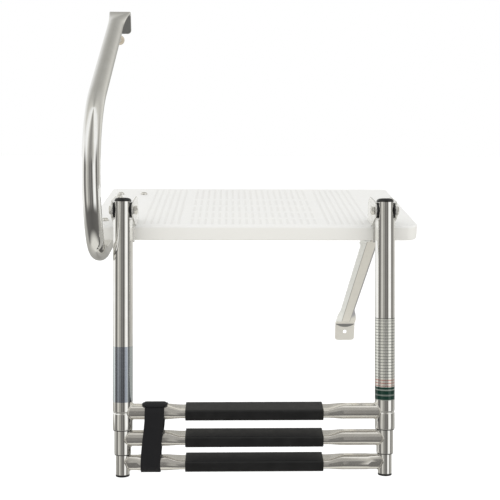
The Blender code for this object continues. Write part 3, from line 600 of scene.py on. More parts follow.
# ---------------------------------------------------------------- materials
WHITE = moulded_white()
TUBE = steel("polished_tube", (0.95, 0.945, 0.93), 0.03, 0.07, (1400, 1400, 25), DOWN_LADDER)
RUNG = steel("polished_rung", (0.92, 0.90, 0.86), 0.05, 0.10, (25, 1400, 1400), LEVEL,
             wave=0.02, metal=0.90)
RAIL = rail_steel()
FITTING = steel("polished_fitting", (0.88, 0.87, 0.83), 0.06, 0.14, (500, 500, 500), LEVEL, 0.4,
                metal=0.78)
WELD = steel("weld_bead", (0.88, 0.86, 0.81), 0.12, 0.25, (900, 900, 900), LEVEL, 0.5, 0.2)
BRUSHED = steel("satin_plate", (0.66, 0.645, 0.605), 0.26, 0.40, (2200, 90, 90), LEVEL, 0.6,
                metal=0.35)
EARS = steel("polished_plate", (0.90, 0.895, 0.87), 0.10, 0.20, (160, 1500, 300), LEVEL, 0.5,
             metal=0.72)
RUBBER = black_soft("black_rubber", (0.0050, 0.0050, 0.0055), (0.0085, 0.0085, 0.0090), 0.38,
                    0.55, 1100.0, 0.35)
NYLON = black_soft("black_nylon", (0.0085, 0.0085, 0.0090), (0.0150, 0.0150, 0.0155), 0.30,
                   0.45, 1700.0, 0.2)
WEBBING = webbing()
PAD = tan_pad()


# ---------------------------------------------------------------- deck
GROOVE_PITCH = 0.0116
GROOVE_HALF = 0.0038
GROOVE_DEPTH = 0.0007
CENTRE_ROWS = ((-0.2965, -0.2585), (-0.2485, -0.2112), (-0.2012, -0.1624), (-0.1524, -0.1094),
               (-0.0994, -0.0100))
SIDE_ROW = ((-0.2965, -0.0100),)
SHORT_ROW = ((-0.2600, -0.0100),)
GROOVE_FLAT, GROOVE_FADE = 0.15, 0.0016
PANEL_X = (-0.1965, 0.2093)
PANEL_Y = (-0.3035, -0.0070)
SIDE_COLUMNS_X = 0.1265


def deck_outline(inset):
    half, front, rear = DECK.x / 2 - inset, -DECK.y + inset, -inset
    fr, rr = DECK_FRONT_RADIUS - inset, DECK_REAR_RADIUS - inset
    return (arc((half - rr, rear - rr), rr, 0, 90, 8) +
            arc((-half + rr, rear - rr), rr, 90, 180, 8) +
            arc((-half + fr, front + fr), fr, 180, 270, 18) +
            arc((half - fr, front + fr), fr, 270, 360, 18))


def grooves():
    """Each groove column's X and the stretches of Y that it is cut along."""
    columns = [(i * GROOVE_PITCH, CENTRE_ROWS) for i in range(-9, 10)]
    columns += [(-SIDE_COLUMNS_X - i * GROOVE_PITCH, SIDE_ROW) for i in range(6)]
    columns += [(SIDE_COLUMNS_X + i * GROOVE_PITCH, SIDE_ROW if i < 6 else SHORT_ROW)
                for i in range(7)]
    return sorted(columns)


def groove_height(columns, x, y):
    """The height of the deck's top at a point, measured from its plane."""
    for centre, rows in columns:
        away = abs(x - centre) / GROOVE_HALF
        if away < 1:
            for low, high in rows:
                reach = min(y - low, high - y) + GROOVE_FADE
                if reach > 0:
                    side = 1 - smooth((away - GROOVE_FLAT) / (1 - GROOVE_FLAT))
                    return -GROOVE_DEPTH * side * smooth(reach / (2 * GROOVE_FADE))
    return 0.0


def groove_grid(shape, top):
    """The grooved field as a grid of faces; its border as a closed row of vertices."""
    columns = grooves()
    xs, ys = set(PANEL_X), set(PANEL_Y)
    for x, _ in columns:
        xs.update(x + side * u * GROOVE_HALF
                  for u in (0.0, 0.30, 0.50, 0.68, 0.84, 1.0) for side in (-1, 1))
    for pair in CENTRE_ROWS + SIDE_ROW + SHORT_ROW:
        for y in pair:
            ys.update(y + share * GROOVE_FADE for share in (-1, -0.5, 0, 0.5, 1))
    grid = [[shape.verts.new((x, y, top + groove_height(columns, x, y))) for x in sorted(xs)]
            for y in sorted(ys)]
    for lower, upper in zip(grid, grid[1:]):
        for k in range(len(xs) - 1):
            shape.faces.new((lower[k], lower[k + 1], upper[k + 1], upper[k]))
    return (grid[0] + [row[-1] for row in grid[1:]] + grid[-1][-2::-1] +
            [row[0] for row in grid[-2:0:-1]])


def deck():
    shape = bmesh.new()
    top = DECK.z / 2
    rows = [(DECK_EDGE * (1 - math.sin(a)), top - DECK_EDGE * (1 - math.cos(a)))
            for a in quarter(6)]
    rows += [(inset, -z) for inset, z in reversed(rows)]
    rings = [[shape.verts.new((x, y, z)) for x, y in deck_outline(inset)] for inset, z in rows]
    for high, low in zip(rings, rings[1:]):
        bridge(shape, high, low)
    upper, lower = [rings[0], groove_grid(shape, top)], [rings[-1]]
    through = [(x, BRACKET_BOLT_Y) for x in (-RAIL_X, RAIL_X)]
    through += [(HANDRAIL_X, y) for y in HANDRAIL_BOLT_Y]
    through += [(x, ANGLE_BOLT_Y) for x in ANGLE_BOLTS]
    blind = [(x, BRACKET_SCREW_Y) for x in (-RAIL_X, RAIL_X)]
    for places, radius, bottom in ((through, BOLT_HOLE, -top), (blind, SCREW_HOLE, top - 0.014)):
        for x, y in places:
            high, low = [[shape.verts.new((x + u, y + v, z)) for u, v in circle(radius, 24)]
                         for z in (top, bottom)]
            bridge(shape, high, low)
            upper.append(high)
            if places is through:
                lower.append(low)
            else:
                shape.faces.new(low)
    fill(shape, upper)
    fill(shape, lower)
    flat_normals(piece("deck_moulding", shape, WHITE, "platform", ["deck"],
                       crease=50))


# ---------------------------------------------------------------- fasteners
def hex_reach(across, angle):
    side = (angle + math.pi / 6) % (math.pi / 3) - math.pi / 6
    return across / 2 / math.cos(side)


def hex_ring(across, z, drop=0.0):
    """A hexagon whose corners fall away as a turned chamfer leaves them."""
    ring = []
    for i in range(FINE):
        angle = 2 * math.pi * i / FINE
        reach = hex_reach(across, angle)
        fall = (reach - across / 2 * 0.97) * math.tan(math.radians(30)) * drop
        ring.append(Vector((reach * math.cos(angle), reach * math.sin(angle), z - fall)))
    return ring


def thread(radius, start, stop, pitch=0.0009, depth=0.00022):
    """Rings of a helical thread running along Z from start to stop."""
    rings = []
    steps = max(2, int(abs(stop - start) / (pitch / 5)))
    for s in range(steps + 1):
        z = start + (stop - start) * s / steps
        fade = smooth(min(s, steps - s) / 4)
        ring = []
        for i in range(40):
            phase = (z / pitch - i / 40) % 1.0
            r = radius - depth * fade * abs(2 * phase - 1)
            angle = 2 * math.pi * i / 40
            ring.append(Vector((r * math.cos(angle), r * math.sin(angle), z)))
        rings.append(ring)
    return rings


TIP = 0.0006


def threaded_end(shape, radius, start, stop):
    """Add a plugged length of thread with a chamfered tip, running down from start to stop."""
    end = bmesh.new()
    core = radius * 0.97
    skin(end, [[Vector((0, 0, start + 0.0002))], raised(circle(core, 40), start + 0.0002)] +
         thread(core, start, stop + TIP) +
         [raised(circle(core * 0.78, 40), stop), [Vector((0, 0, stop))]])
    merge(shape, end)


def hex_bolt(across, head, radius, reach):
    shape = bmesh.new()
    start = -reach + 0.0100
    skin(shape, [[Vector((0, 0, head))], raised(circle(across / 2 * 0.90), head),
                 raised(circle(across / 2 * 0.97), head - 0.00008),
                 hex_ring(across, head - 0.0001, 1.0), hex_ring(across, 0.0003),
                 hex_ring(across * 0.97, 0.0), raised(circle(radius), 0.0),
                 raised(circle(radius), start)], capped=False)
    threaded_end(shape, radius, start, -reach)
    return shape


def merge(shape, other):
    mesh = bpy.data.meshes.new("joined")
    other.to_mesh(mesh)
    other.free()
    shape.from_mesh(mesh)
    bpy.data.meshes.remove(mesh)


def hex_nut(across, height, bore):
    """A nut with chamfered corners on both sides and a countersunk bore."""
    shape = bmesh.new()
    top = hex_ring(across, height - 0.0001, 1.0)
    skin(shape, [raised(circle(across / 2 * 0.96), 0.0),
                 [Vector((p.x, p.y, height - p.z)) for p in top], top,
                 raised(circle(across / 2 * 0.96), height),
                 raised(circle(bore * 1.12), height), raised(circle(bore), height - 0.0004),
                 raised(circle(bore), 0.0004), raised(circle(bore * 1.12), 0.0)], cyclic=True)
    return shape


def dome_bolt(head_radius, head_height, radius, reach):
    start = -reach + 0.0085
    profile = [(0, head_height)]
    profile += [(head_radius * math.sin(a) ** 0.92, 0.0004 + (head_height - 0.0004) * math.cos(a))
                for a in quarter(14)[1:]]
    profile += [(head_radius, 0.0002), (head_radius - 0.0002, 0.0), (radius, 0.0), (radius, start)]
    shape = bmesh.new()
    skin(shape, lathe(profile, 48), capped=False)
    threaded_end(shape, radius, start, -reach)
    return shape


LARGE, MEDIUM, SMALL = (0.0066, 0.0042, 0.0030), (0.0062, 0.0036, 0.0030), (0.0052, 0.0030, 0.0021)
DOMED = {"bracket_bolt_left": MEDIUM, "bracket_bolt_right": MEDIUM,
         "bracket_screw_left": SMALL, "bracket_screw_right": SMALL,
         "handrail_bolt_front": LARGE, "handrail_bolt_rear": LARGE,
         "angle_bolt_outer": LARGE, "angle_bolt_inner": LARGE}
NUTS = ("bracket_nut_left", "bracket_nut_right", "handrail_nut_front", "handrail_nut_rear",
        "angle_nut_outer", "angle_nut_inner")
PIN_ACROSS, PIN_HEAD, PIN_RADIUS, PIN_PAST, PIN_NUT = 0.0127, 0.0040, 0.0039, 0.0066, 0.0052
WASHER_RADIUS = 0.0127


def fitting(name, shape, node, matrix):
    piece(name, shape, FITTING, "platform", [node], matrix)


def fasteners():
    for node, size in DOMED.items():
        low, high = (Vector(corner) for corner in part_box(node))
        centre, seat = (low + high) / 2, high.z - size[1]
        fitting(node + "_domed", dome_bolt(*size, seat - low.z), node,
                Matrix.Translation((centre.x, centre.y, seat)))
    for node in NUTS:
        low, high = (Vector(corner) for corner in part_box(node))
        centre = (low + high) / 2
        fitting(node + "_hex", hex_nut(0.010, 0.0050, 0.0033), node,
                Matrix.Translation((centre.x, centre.y, low.z)))
    for side, x in SIDES:
        sign = math.copysign(1, x)
        pin = Matrix.Translation((x, PIVOT.y, PIVOT.z))
        outward = Matrix.Rotation(sign * math.pi / 2, 4, "Y")
        inward = Matrix.Rotation(-sign * math.pi / 2, 4, "Y")
        seat = Matrix.Translation((0, 0, EAR_OUTER + GAP))
        fitting(f"hinge_bolt_{side}_hex",
                hex_bolt(PIN_ACROSS, PIN_HEAD, PIN_RADIUS, 2 * EAR_OUTER + PIN_PAST),
                f"hinge_bolt_{side}", pin @ outward @ seat)
        fitting(f"hinge_nut_{side}_hex", hex_nut(PIN_ACROSS, PIN_NUT, PIN_HOLE),
                f"hinge_nut_{side}", pin @ inward @ seat)
        near, far = FLAT_HALF_X + GAP, EAR_INNER - BOSS_HEIGHT - GAP
        profile = soft_corner([(PIN_HOLE, near + 0.001), (PIN_HOLE, near), (WASHER_RADIUS, near),
                               (WASHER_RADIUS, far), (PIN_HOLE, far), (PIN_HOLE, far - 0.001)],
                              0.0010)
        for where, turn in (("outer", outward), ("inner", inward)):
            shape = bmesh.new()
            skin(shape, lathe(profile), cyclic=True)
            piece(f"hinge_washer_{side}_{where}_turned", shape, NYLON, "platform",
                  [f"hinge_washer_{side}_{where}"], pin @ turn)


# ---------------------------------------------------------------- brackets, strut and angle
BRACKET_BASE = 0.0025
EAR_REAR_RADIUS, EAR_REAR_Z, EAR_TOE = 0.020, 0.037, 0.0020
EAR_FRONT = (-0.3150, 0.0160)
STOP_TONGUE = ((0.0187, -0.0262), (0.0162, -0.0262), (0.0162, -0.0520), (0.0187, -0.0520))


def ear(shape, x, hand, base_z):
    """Add one ear, with the round boss that the washer bears on, on one side of a tube."""
    outline = arc((PIVOT.y, PIVOT.z), EAR_RADIUS, 225, 80, 28)
    outline += arc((BRACKET_REAR - EAR_REAR_RADIUS, EAR_REAR_Z), EAR_REAR_RADIUS, 75, 0, 14)
    outline += arc((BRACKET_REAR - EAR_TOE, base_z + EAR_TOE + 0.0002), EAR_TOE, 0, -90, 4)
    outline += [(EAR_FRONT[0] + 0.0055, base_z + 0.0002), EAR_FRONT]
    plate(shape, outline, EAR_OUTER - EAR_INNER,
          Matrix.Translation((x + hand * (EAR_INNER + EAR_OUTER) / 2, 0, 0)) @ SIDEWAYS,
          [(PIVOT.y, PIVOT.z, PIN_HOLE)])
    boss = bmesh.new()
    height = BOSS_HEIGHT + 0.0002
    skin(boss, lathe(soft_corner([(PIN_HOLE, 0.0), (PIN_HOLE, height), (BOSS_RADIUS, height),
                                  (BOSS_RADIUS, 0.0)], 0.0005)), cyclic=True)
    boss.transform(Matrix.Translation((x + hand * (EAR_INNER + 0.0002), PIVOT.y, PIVOT.z)) @
                   Matrix.Rotation(-hand * math.pi / 2, 4, "Y"))
    merge(shape, boss)


def bracket_base(x, base_z):
    """The base plate with the tongue that stops the tube at its lean."""
    top, face, foot, heel = (PIVOT + Matrix.Rotation(-LEAN, 4, "X") @ Vector((0, y, z))
                             for y, z in STOP_TONGUE)
    rear, upper = BRACKET_REAR - 0.0015, base_z + BRACKET_BASE
    outline = [(rear, base_z), (rear, upper), (face.y + 0.0012, upper),
               (face.y, face.z - 0.0002), (foot.y, foot.z), (heel.y, heel.z), (top.y, base_z)]
    base = bmesh.new()
    plate(base, outline, 2 * (EAR_INNER + 0.0004), Matrix.Translation((x, 0, 0)) @ SIDEWAYS)
    return drilled(base, [((x, BRACKET_BOLT_Y, base_z), "Z", BOLT_HOLE, 0.02),
                          ((x, BRACKET_SCREW_Y, base_z), "Z", SCREW_HOLE + 0.0003, 0.02)])


def brackets():
    base_z = DECK.z / 2 + GAP
    for side, x in SIDES:
        shape = bmesh.new()
        for hand in (-1, 1):
            ear(shape, x, hand, base_z)
        merge(shape, bracket_base(x, base_z))
        obj = piece(f"hinge_bracket_{side}_folded", shape, EARS, "platform",
                    [f"hinge_bracket_{side}"])
        rounded_edges(obj, 0.00045, 3)
        flat_normals(obj)


def strut_section(fold):
    """The strut's closed outline, u sideways and v square to the web; fold runs from 0 to 1."""
    angle = STRUT_FOLD * fold
    reach = STRUT_FOLD_RADIUS * math.tan(angle / 2)
    line = [(Vector((u, 0.0)), 0.0) for u in (0.0, 0.0030, 0.0060)]
    for i in range(9):
        turn = angle * i / 8
        line.append((Vector((STRUT_WEB_HALF - reach + STRUT_FOLD_RADIUS * math.sin(turn),
                             STRUT_FOLD_RADIUS * (1 - math.cos(turn)))), turn))
    tip = line[-1][0]
    for share in (0.5, 1.0):
        line.append((tip + (STRUT_FLANGE - reach) * share * direction(angle), angle))
    half = STRUT_PLATE / 2
    upper = [spot + half * direction(turn + math.pi / 2) for spot, turn in line]
    lower = [spot - half * direction(turn + math.pi / 2) for spot, turn in line]
    nose = []
    for i in range(1, 6):
        turn = math.pi / 2 - math.pi * i / 6
        nose.append(line[-1][0] + STRUT_NOSE * math.cos(turn) * direction(angle) +
                    half * math.sin(turn) * direction(angle + math.pi / 2))
    right = upper + nose + lower[::-1]
    return right[1:-1] + [Vector((-u, v)) for u, v in reversed(right)][1:-1]


def bend_stations(centre, radius, start, sweep, steps):
    """Points and headings along a bend that turns about a centre."""
    headings = [start + sweep * i / steps for i in range(steps + 1)]
    return [(centre + radius * direction(heading + math.pi / 2), heading) for heading in headings]


def strut():
    plate_z = -DECK.z / 2 - GAP - STRUT_PLATE / 2
    knee = Vector((STRUT_KNEE, plate_z))
    tab = Vector((-STRUT_PLATE / 2, STRUT_TAB_Z))
    along, length = (tab - knee).normalized(), (tab - knee).length
    slope = math.atan2(along.y, along.x)
    drop = -math.pi / 2 - slope
    stations = [(Vector((STRUT_FRONT, plate_z)), 0.0, 0.0, 0.985),
                (Vector((STRUT_FRONT + 0.0004, plate_z)), 0.0, 0.0, 1)]
    centre = knee + Vector((-STRUT_BEND * math.tan(abs(slope) / 2), -STRUT_BEND))
    stations += [(*spot, 0.0, 1) for spot in bend_stations(centre, STRUT_BEND, 0.0, slope, 8)]
    shares = [(0.035 + 0.095 * i / 12, smooth(i / 12)) for i in range(13)]
    shares += [(0.3, 1.0), (0.5, 1.0), (0.7, 1.0)]
    shares += [(0.86 + 0.112 * i / 14, 1 - smooth(i / 14)) for i in range(15)]
    stations += [(knee + along * length * share, slope, fold, 1) for share, fold in shares]
    centre = tab + Vector((-STRUT_BEND, STRUT_BEND * math.tan(abs(drop) / 2)))
    stations += [(*spot, 0.0, 1) for spot in bend_stations(centre, STRUT_BEND, slope, drop, 8)]
    corner = 0.006
    for turn in quarter(6):
        stations.append((Vector((tab.x, STRUT_BOTTOM + corner * (1 - math.sin(turn)))),
                         -math.pi / 2, 0.0,
                         1 - corner * (1 - math.cos(turn)) / (STRUT_WEB_HALF + STRUT_FLANGE)))
    rings = []
    for point, heading, fold, share in stations:
        rise = direction(heading + math.pi / 2)
        rings.append([Vector((STRUT_X + u * share, *(point + rise * v)))
                      for u, v in strut_section(fold)])
    shape = bmesh.new()
    skin(shape, rings)
    shape = drilled(shape, [((STRUT_X, 0, STRUT_HOLE_Z), "Y", MOUNT_HOLE, 0.02),
                            ((RAIL_X, BRACKET_BOLT_Y, plate_z), "Z", BOLT_HOLE, 0.02)])
    flat_normals(piece("support_strut_folded", shape, strut_satin_with_painted_shade(), "platform",
                       ["support_strut"], crease=38))


def transom_angle():
    top, t, radius = -DECK.z / 2 - GAP, ANGLE_PLATE, 0.003
    centre = (-t - radius, top - t - radius)
    outline = [(-ANGLE_LEG, top), (-ANGLE_LEG, top - t), *arc(centre, radius, 90, 0, 8),
               (-t, ANGLE_DROP), (0.0, ANGLE_DROP), *arc(centre, t + radius, 0, 90, 10)]
    shape = bmesh.new()
    plate(shape, outline, ANGLE_X[1] - ANGLE_X[0],
          Matrix.Translation((sum(ANGLE_X) / 2, 0, 0)) @ SIDEWAYS)
    holes = [((x, ANGLE_BOLT_Y, top), "Z", BOLT_HOLE, 0.02) for x in ANGLE_BOLTS]
    holes += [((x, 0, ANGLE_HOLE_Z), "Y", MOUNT_HOLE, 0.02) for x in ANGLE_BOLTS]
    rounded_edges(piece("transom_angle_folded", drilled(shape, holes), BRUSHED, "platform",
                        ["transom_angle"]), 0.0004, 2)


# ---------------------------------------------------------------- handrail
RAIL_ARC_Y, RAIL_END_Y = -0.3207, -0.0745
RAIL_FIRST, RAIL_SLOPE = math.radians(67.5), math.radians(23.2)
RAIL_BENDS = ((0.060, RAIL_FIRST, 26), (0.167, math.pi - RAIL_SLOPE - RAIL_FIRST, 40))


def rail_path():
    """Points and headings, in the YZ plane, from the rail's end under the deck to its top."""
    point, heading = Vector((RAIL_ARC_Y, -DECK.z / 2 - GAP - HANDRAIL_OD / 2)), math.pi
    run = Vector((RAIL_END_Y - RAIL_ARC_Y, 0.0))
    stations = [(point + run * t, heading) for t in (1, 0.98, 0.5, 0.02, 0)]
    for radius, sweep, steps in RAIL_BENDS:
        centre = point + radius * direction(heading - math.pi / 2)
        bend = bend_stations(centre, radius, heading, -sweep, steps)
        stations += bend[1:]
        point, heading = bend[-1]
    return stations


def rail_ring(centre, heading, width, depth):
    """The rail's section: round, and more like a stadium the wider it has been pressed."""
    rise = direction(heading + math.pi / 2)
    flat = 1.0 if heading <= 0 else max(0.0, width - HANDRAIL_OD) / (TAB_WIDTH - HANDRAIL_OD)
    ring = []
    for i, (u, v) in enumerate(stadium(width, depth)):
        around = direction(2 * math.pi * (i + 0.5) / FINE)
        u = flat * u + (1 - flat) * width / 2 * around.x
        v = flat * v + (1 - flat) * depth / 2 * around.y
        ring.append(Vector((HANDRAIL_X + TAB_SHIFT * flat + u, *(centre + rise * v))))
    return ring


def handrail():
    rings = [(point, heading, HANDRAIL_OD, HANDRAIL_OD) for point, heading in rail_path()]
    point, heading = rings[-1][:2]
    along, rise = direction(heading), direction(heading + math.pi / 2)
    face = TAB_DEPTH / 2 * math.cos(math.pi / 20)
    end = (along.y * (TAB_LIFT - TAB_BEND) - face - TAB_BEND - point.x) / along.x
    for distance in (end * 0.25, end * 0.5, end - FLARE - 0.004, end - FLARE - 0.001):
        rings.append((point + along * distance, heading, HANDRAIL_OD, HANDRAIL_OD))
    bored = len(rings)
    for i in range(1, 25):
        step, ease = i / 24, smooth(i / 24)
        rings.append((point + along * (end - FLARE + (FLARE - 0.0005) * step) +
                      rise * TAB_LIFT * ease, heading,
                      HANDRAIL_OD + (TAB_WIDTH - HANDRAIL_OD) * step ** 2,
                      HANDRAIL_OD + (TAB_DEPTH - HANDRAIL_OD) * ease))
    centre = point + along * end + rise * (TAB_LIFT - TAB_BEND)
    fold = bend_stations(centre, TAB_BEND, heading, -heading - math.pi / 2, 12)
    rings += [(*spot, TAB_WIDTH, TAB_DEPTH) for spot in fold]
    for turn in quarter(8):
        spot = Vector((fold[-1][0].x, TAB_BOTTOM + TAB_CORNER * (1 - math.sin(turn))))
        rings.append((spot, -math.pi / 2, TAB_WIDTH - 2 * TAB_CORNER * (1 - math.cos(turn)),
                      TAB_DEPTH))
    rings[-1] = (*rings[-1][:3], TAB_DEPTH - 0.0006)
    less = 2 * HANDRAIL_WALL
    inner = [rail_ring(spot, turn, width - less, depth - less)
             for spot, turn, width, depth in rings[:bored]]
    mouth, turn, width, depth = rings[0]
    lip = rail_ring(mouth, turn, width - 0.0006, depth - 0.0006)
    rings[0] = (mouth + Vector((-0.0004, 0)), turn, width, depth)
    shape = bmesh.new()
    skin(shape, inner[::-1] + [lip] + [rail_ring(*ring) for ring in rings])
    shape = drilled(shape, [((HANDRAIL_X + TAB_SHIFT, -0.002, TAB_HOLE_Z), "Y", 0.0042, 0.02)] +
                    [((HANDRAIL_X, y, -0.027), "Z", BOLT_HOLE, 0.05) for y in HANDRAIL_BOLT_Y])
    rail = piece("handrail_bent", shape, RAIL, "platform", ["handrail"],
                 crease=40)
    rail.visible_diffuse = False


STANDOFF_Z, STUD_RADIUS, STUD_END = 0.3030, 0.0042, -0.0644
PAD_RADIUS, PAD_THICK = 0.0092, 0.0055


def standoff():
    """The rail's stand-off, turned about an axis along -Y from the transom's plane."""
    turn = Matrix.Translation((HANDRAIL_X, 0, STANDOFF_Z)) @ Matrix.Rotation(-math.pi / 2, 4, "X")
    stud = soft_corner([(0, -PAD_THICK - GAP), (STUD_RADIUS, -PAD_THICK - GAP),
                        (STUD_RADIUS, STUD_END), (0, STUD_END)], 0.0006)
    disc = soft_corner([(0, 0), (0.0040, 0.0), (0.0045, -0.0006), (0.0070, -0.0006),
                        (0.0075, 0.0), (PAD_RADIUS, 0.0), (PAD_RADIUS, -PAD_THICK),
                        (0, -PAD_THICK)], 0.0010)
    for node, end, profile, count, material, slot in (
            ("rail_standoff_stud", "turned", stud, 48, BRUSHED, "satin_steel"),
            ("rail_standoff_pad", "moulded", disc, FINE, PAD, "tan_rubber")):
        shape = bmesh.new()
        skin(shape, lathe(profile, count), capped=False)
        piece(f"{node}_{end}", shape, material, "platform", [node], turn)


# ---------------------------------------------------------------- ladder tubes
def soft_least(value, limit, blend=0.0005):
    """The smaller of two lengths with a rounded changeover; no limit leaves it as it is."""
    if limit is None:
        return value
    share = max(0.0, blend - abs(value - limit)) / blend
    return min(value, limit) - share * share * blend / 4


def flatted(radius, half_x):
    """A tube's round section, pressed flat on both sides at half_x."""
    return [(math.copysign(soft_least(abs(x), half_x), x), y)
            for x, y in stadium(2 * radius, 2 * radius, 96)]


# The top cap's sections: height over the tube's end, half width and half depth
TOP_CAP = ((0.0062, 0.0064, 0.0078), (0.0061, 0.0085, 0.0106), (0.0056, 0.0107, 0.0134),
           (0.0048, 0.0119, 0.0148), (0.0036, 0.0128, 0.0157), (0.0022, 0.0133, 0.0163),
           (0.0008, 0.0134, 0.0164), (0.0004, 0.0131, 0.0161), (GAP, 0.0126, 0.0157),
           (GAP, 0.0100, 0.0143), (-0.0064, 0.0099, 0.0142), (-0.0070, 0.0094, 0.0137))


def upper_sections():
    """An upper tube's sections: height, radius and where its sides are pressed flat, if at all."""
    r = UPPER_R
    sections = [(UPPER_END + up, r - less, None)
                for up, less in ((0.0002, 0.0006), (0.0, 0.0004), (0.0003, 0.0001), (0.0007, 0.0))]
    for i in range(13):
        t = -1 + i / 6
        sections.append((CRIMP_Z + 0.0024 * t, r - 0.0009 * math.cos(math.pi / 2 * t) ** 2, None))
    sections += [(-0.20, r, None), (-0.10, r, None), (FLAT_BOTTOM - 0.0040, r, None)]
    for i in range(1, 9):
        t = i / 8
        sections.append((FLAT_BOTTOM - 0.0034 * (1 - t), r,
                         r + 0.0002 - (r + 0.0002 - FLAT_HALF_X) * smooth(t)))
    return sections + [(0.0, r, FLAT_HALF_X), (UPPER_TOP - 0.0003, r, FLAT_HALF_X),
                       (UPPER_TOP, r - 0.0002, FLAT_HALF_X - 0.0002)]


def upper_tubes():
    sections = upper_sections()
    outer = [raised(flatted(radius, half), z) for z, radius, half in sections]
    inner = [raised(flatted(radius - WALL, None if half is None else half - WALL), z)
             for z, radius, half in sections if abs(z - CRIMP_Z) > 0.003]
    for side, x in SIDES:
        shape = bmesh.new()
        skin(shape, outer + inner[::-1], cyclic=True)
        shape = drilled(shape, [((0, 0, 0), "X", PIN_HOLE, 0.05)])
        piece(f"upper_tube_{side}_drawn", shape, TUBE, "ladder",
              [f"upper_tube_{side}"], on_ladder(x))
        shape = bmesh.new()
        skin(shape, [raised(stadium(2 * a, 2 * b), UPPER_TOP + z) for z, a, b in TOP_CAP])
        piece(f"top_cap_{side}_moulded", shape, NYLON, "ladder",
              [f"top_cap_{side}"], on_ladder(x))


def ring_piece(name, profile, radius, material, body, node, x):
    """A turned piece about a ladder tube's axis; a profile that starts at 0 is solid."""
    shape = bmesh.new()
    hollow = profile[0][0] != 0
    if hollow:
        profile = soft_corner([profile[-1], *profile, profile[0]], radius)[1:-1]
    else:
        profile = soft_corner(profile, radius)
    skin(shape, lathe(profile), cyclic=hollow, capped=False)
    piece(name, shape, material, body, [node], on_ladder(x))


def sliding_tubes():
    """The inner tubes, the bushes in the tubes' mouths, the sliders and the foot caps."""
    lift = 0.0002
    for side, x in SIDES:
        for name, body, r, top, bottom in (
                ("middle", "middle_section", MIDDLE_R, MIDDLE_TOP, MIDDLE_END),
                ("lower", "lower_section", LOWER_R, LOWER_TOP, LOWER_END)):
            ring_piece(f"{name}_tube_{side}_drawn",
                       [(r - WALL, top), (r, top), (r, bottom), (r - WALL, bottom)], 0.0006,
                       TUBE, body, f"{name}_tube_{side}", x)
        for name, body, outer, inner, end in (
                ("upper_bush", "ladder", UPPER_R, MIDDLE_R, UPPER_END),
                ("middle_bush", "middle_section", MIDDLE_R, LOWER_R, MIDDLE_END)):
            inside, outside, rim = inner + lift, outer - WALL - lift, outer - 2 * lift
            ring_piece(f"{name}_{side}_turned",
                       [(inside, end + BUSH), (outside, end + BUSH), (outside, end - GAP),
                        (rim, end - GAP), (rim, end - 0.0012), (inside, end - 0.0012)], 0.0004,
                       NYLON, body, f"{name}_{side}", x)
        for name, body, outer, inner, top in (
                ("middle_slider", "middle_section", UPPER_R, MIDDLE_R, MIDDLE_TOP),
                ("lower_slider", "lower_section", MIDDLE_R, LOWER_R, LOWER_TOP)):
            inside, outside = inner - WALL, outer - WALL - lift
            ring_piece(f"{name}_{side}_turned",
                       [(inside, top + SLIDER), (outside, top + SLIDER), (outside, top + GAP),
                        (inside, top + GAP)], 0.0004, NYLON, body,
                       f"{name}_{side}", x)
        bore, rim = LOWER_R - WALL - 0.0003, LOWER_R + lift
        ring_piece(f"foot_cap_{side}_moulded",
                   [(0, LOWER_END + SLIDER), (bore, LOWER_END + SLIDER), (bore, LOWER_END - GAP),
                    (rim, LOWER_END - GAP), (rim, FOOT_END), (0, FOOT_END)], 0.0011, NYLON,
                   "lower_section", f"foot_cap_{side}", x)


# ---------------------------------------------------------------- rungs, welds and treads
LEVEL_TURN = Matrix.Rotation(LEAN, 4, "X")


def rung_stations(tip):
    """Stations (x, width, height) from a rung's right end to its left; tip is its end's width."""
    across = 2 * RUNG_R
    half = [(0.184, across, across)] if tip < across else [(0.180, across, across)]
    for i in range(25):
        press = smooth(i / 24)
        half.append((RUNG_ROUND_FROM + (RUNG_FLAT_FROM - RUNG_ROUND_FROM) * i / 24,
                     *(across + (flat - across) * press for flat in RUNG_FLAT)))
    half.append((0.06, *RUNG_FLAT))
    if tip < across:
        half.insert(0, (RUNG_END, tip, across))
    return half + [(-x, width, height) for x, width, height in reversed(half)]


def level_ring(x, outline):
    """An outline across a rung at x, turned level with the deck."""
    return [LEVEL_TURN @ Vector((x, u, v)) for u, v in outline]


def coped(ring, tube_r, sign):
    """Move a ring's points along X on to the side tube's surface."""
    return [Vector((sign * (RAIL_X - math.sqrt(max(0.0, tube_r ** 2 - p.y ** 2))), p.y, p.z))
            for p in ring]


def rung(name, level, tube_r, body):
    tip = RUNG_TIP if tube_r < RUNG_R else 2 * RUNG_R

    def end(sign, less=0.0):
        ring = level_ring(sign * RUNG_END, stadium(tip - less, 2 * RUNG_R - less))
        return coped(ring, tube_r + WELD_LIFT, sign)

    outer, inner = [[end(1, less)] +
                    [level_ring(x, stadium(width - less, height - less))
                     for x, width, height in rung_stations(tip)] + [end(-1, less)]
                    for less in (0.0, 2 * WALL)]
    shape, welds = bmesh.new(), bmesh.new()
    skin(shape, outer + inner[::-1], cyclic=True)
    weld(welds, end(-1))
    weld(welds, end(1))
    place = on_ladder(z=level)
    piece(f"{name}_pressed", shape, RUNG, body, [name], place)
    piece(f"{name}_welds", welds, WELD, body, [], place, crease=60)


def weld(shape, path):
    """A rippled fillet bead along a closed path."""
    middle = sum(path, Vector()) / len(path)
    rings, run = [], 0.0
    for before, point, after in zip(path[-1:] + path, path, path[1:] + path[:1]):
        run += (point - before).length
        along = (after - before).normalized()
        out = (point - middle) * Vector((0, 1, 1))
        out = (out - along * out.dot(along)).normalized()
        side = along.cross(out).normalized()
        size = 0.00095 * (1 + 0.13 * math.sin(2 * math.pi * run / 0.0011))
        rings.append([point + out * (0.00015 + size * u) + side * size * 1.5 * v
                      for u, v in circle(1.0, 12)])
    skin(shape, rings, cyclic=True)


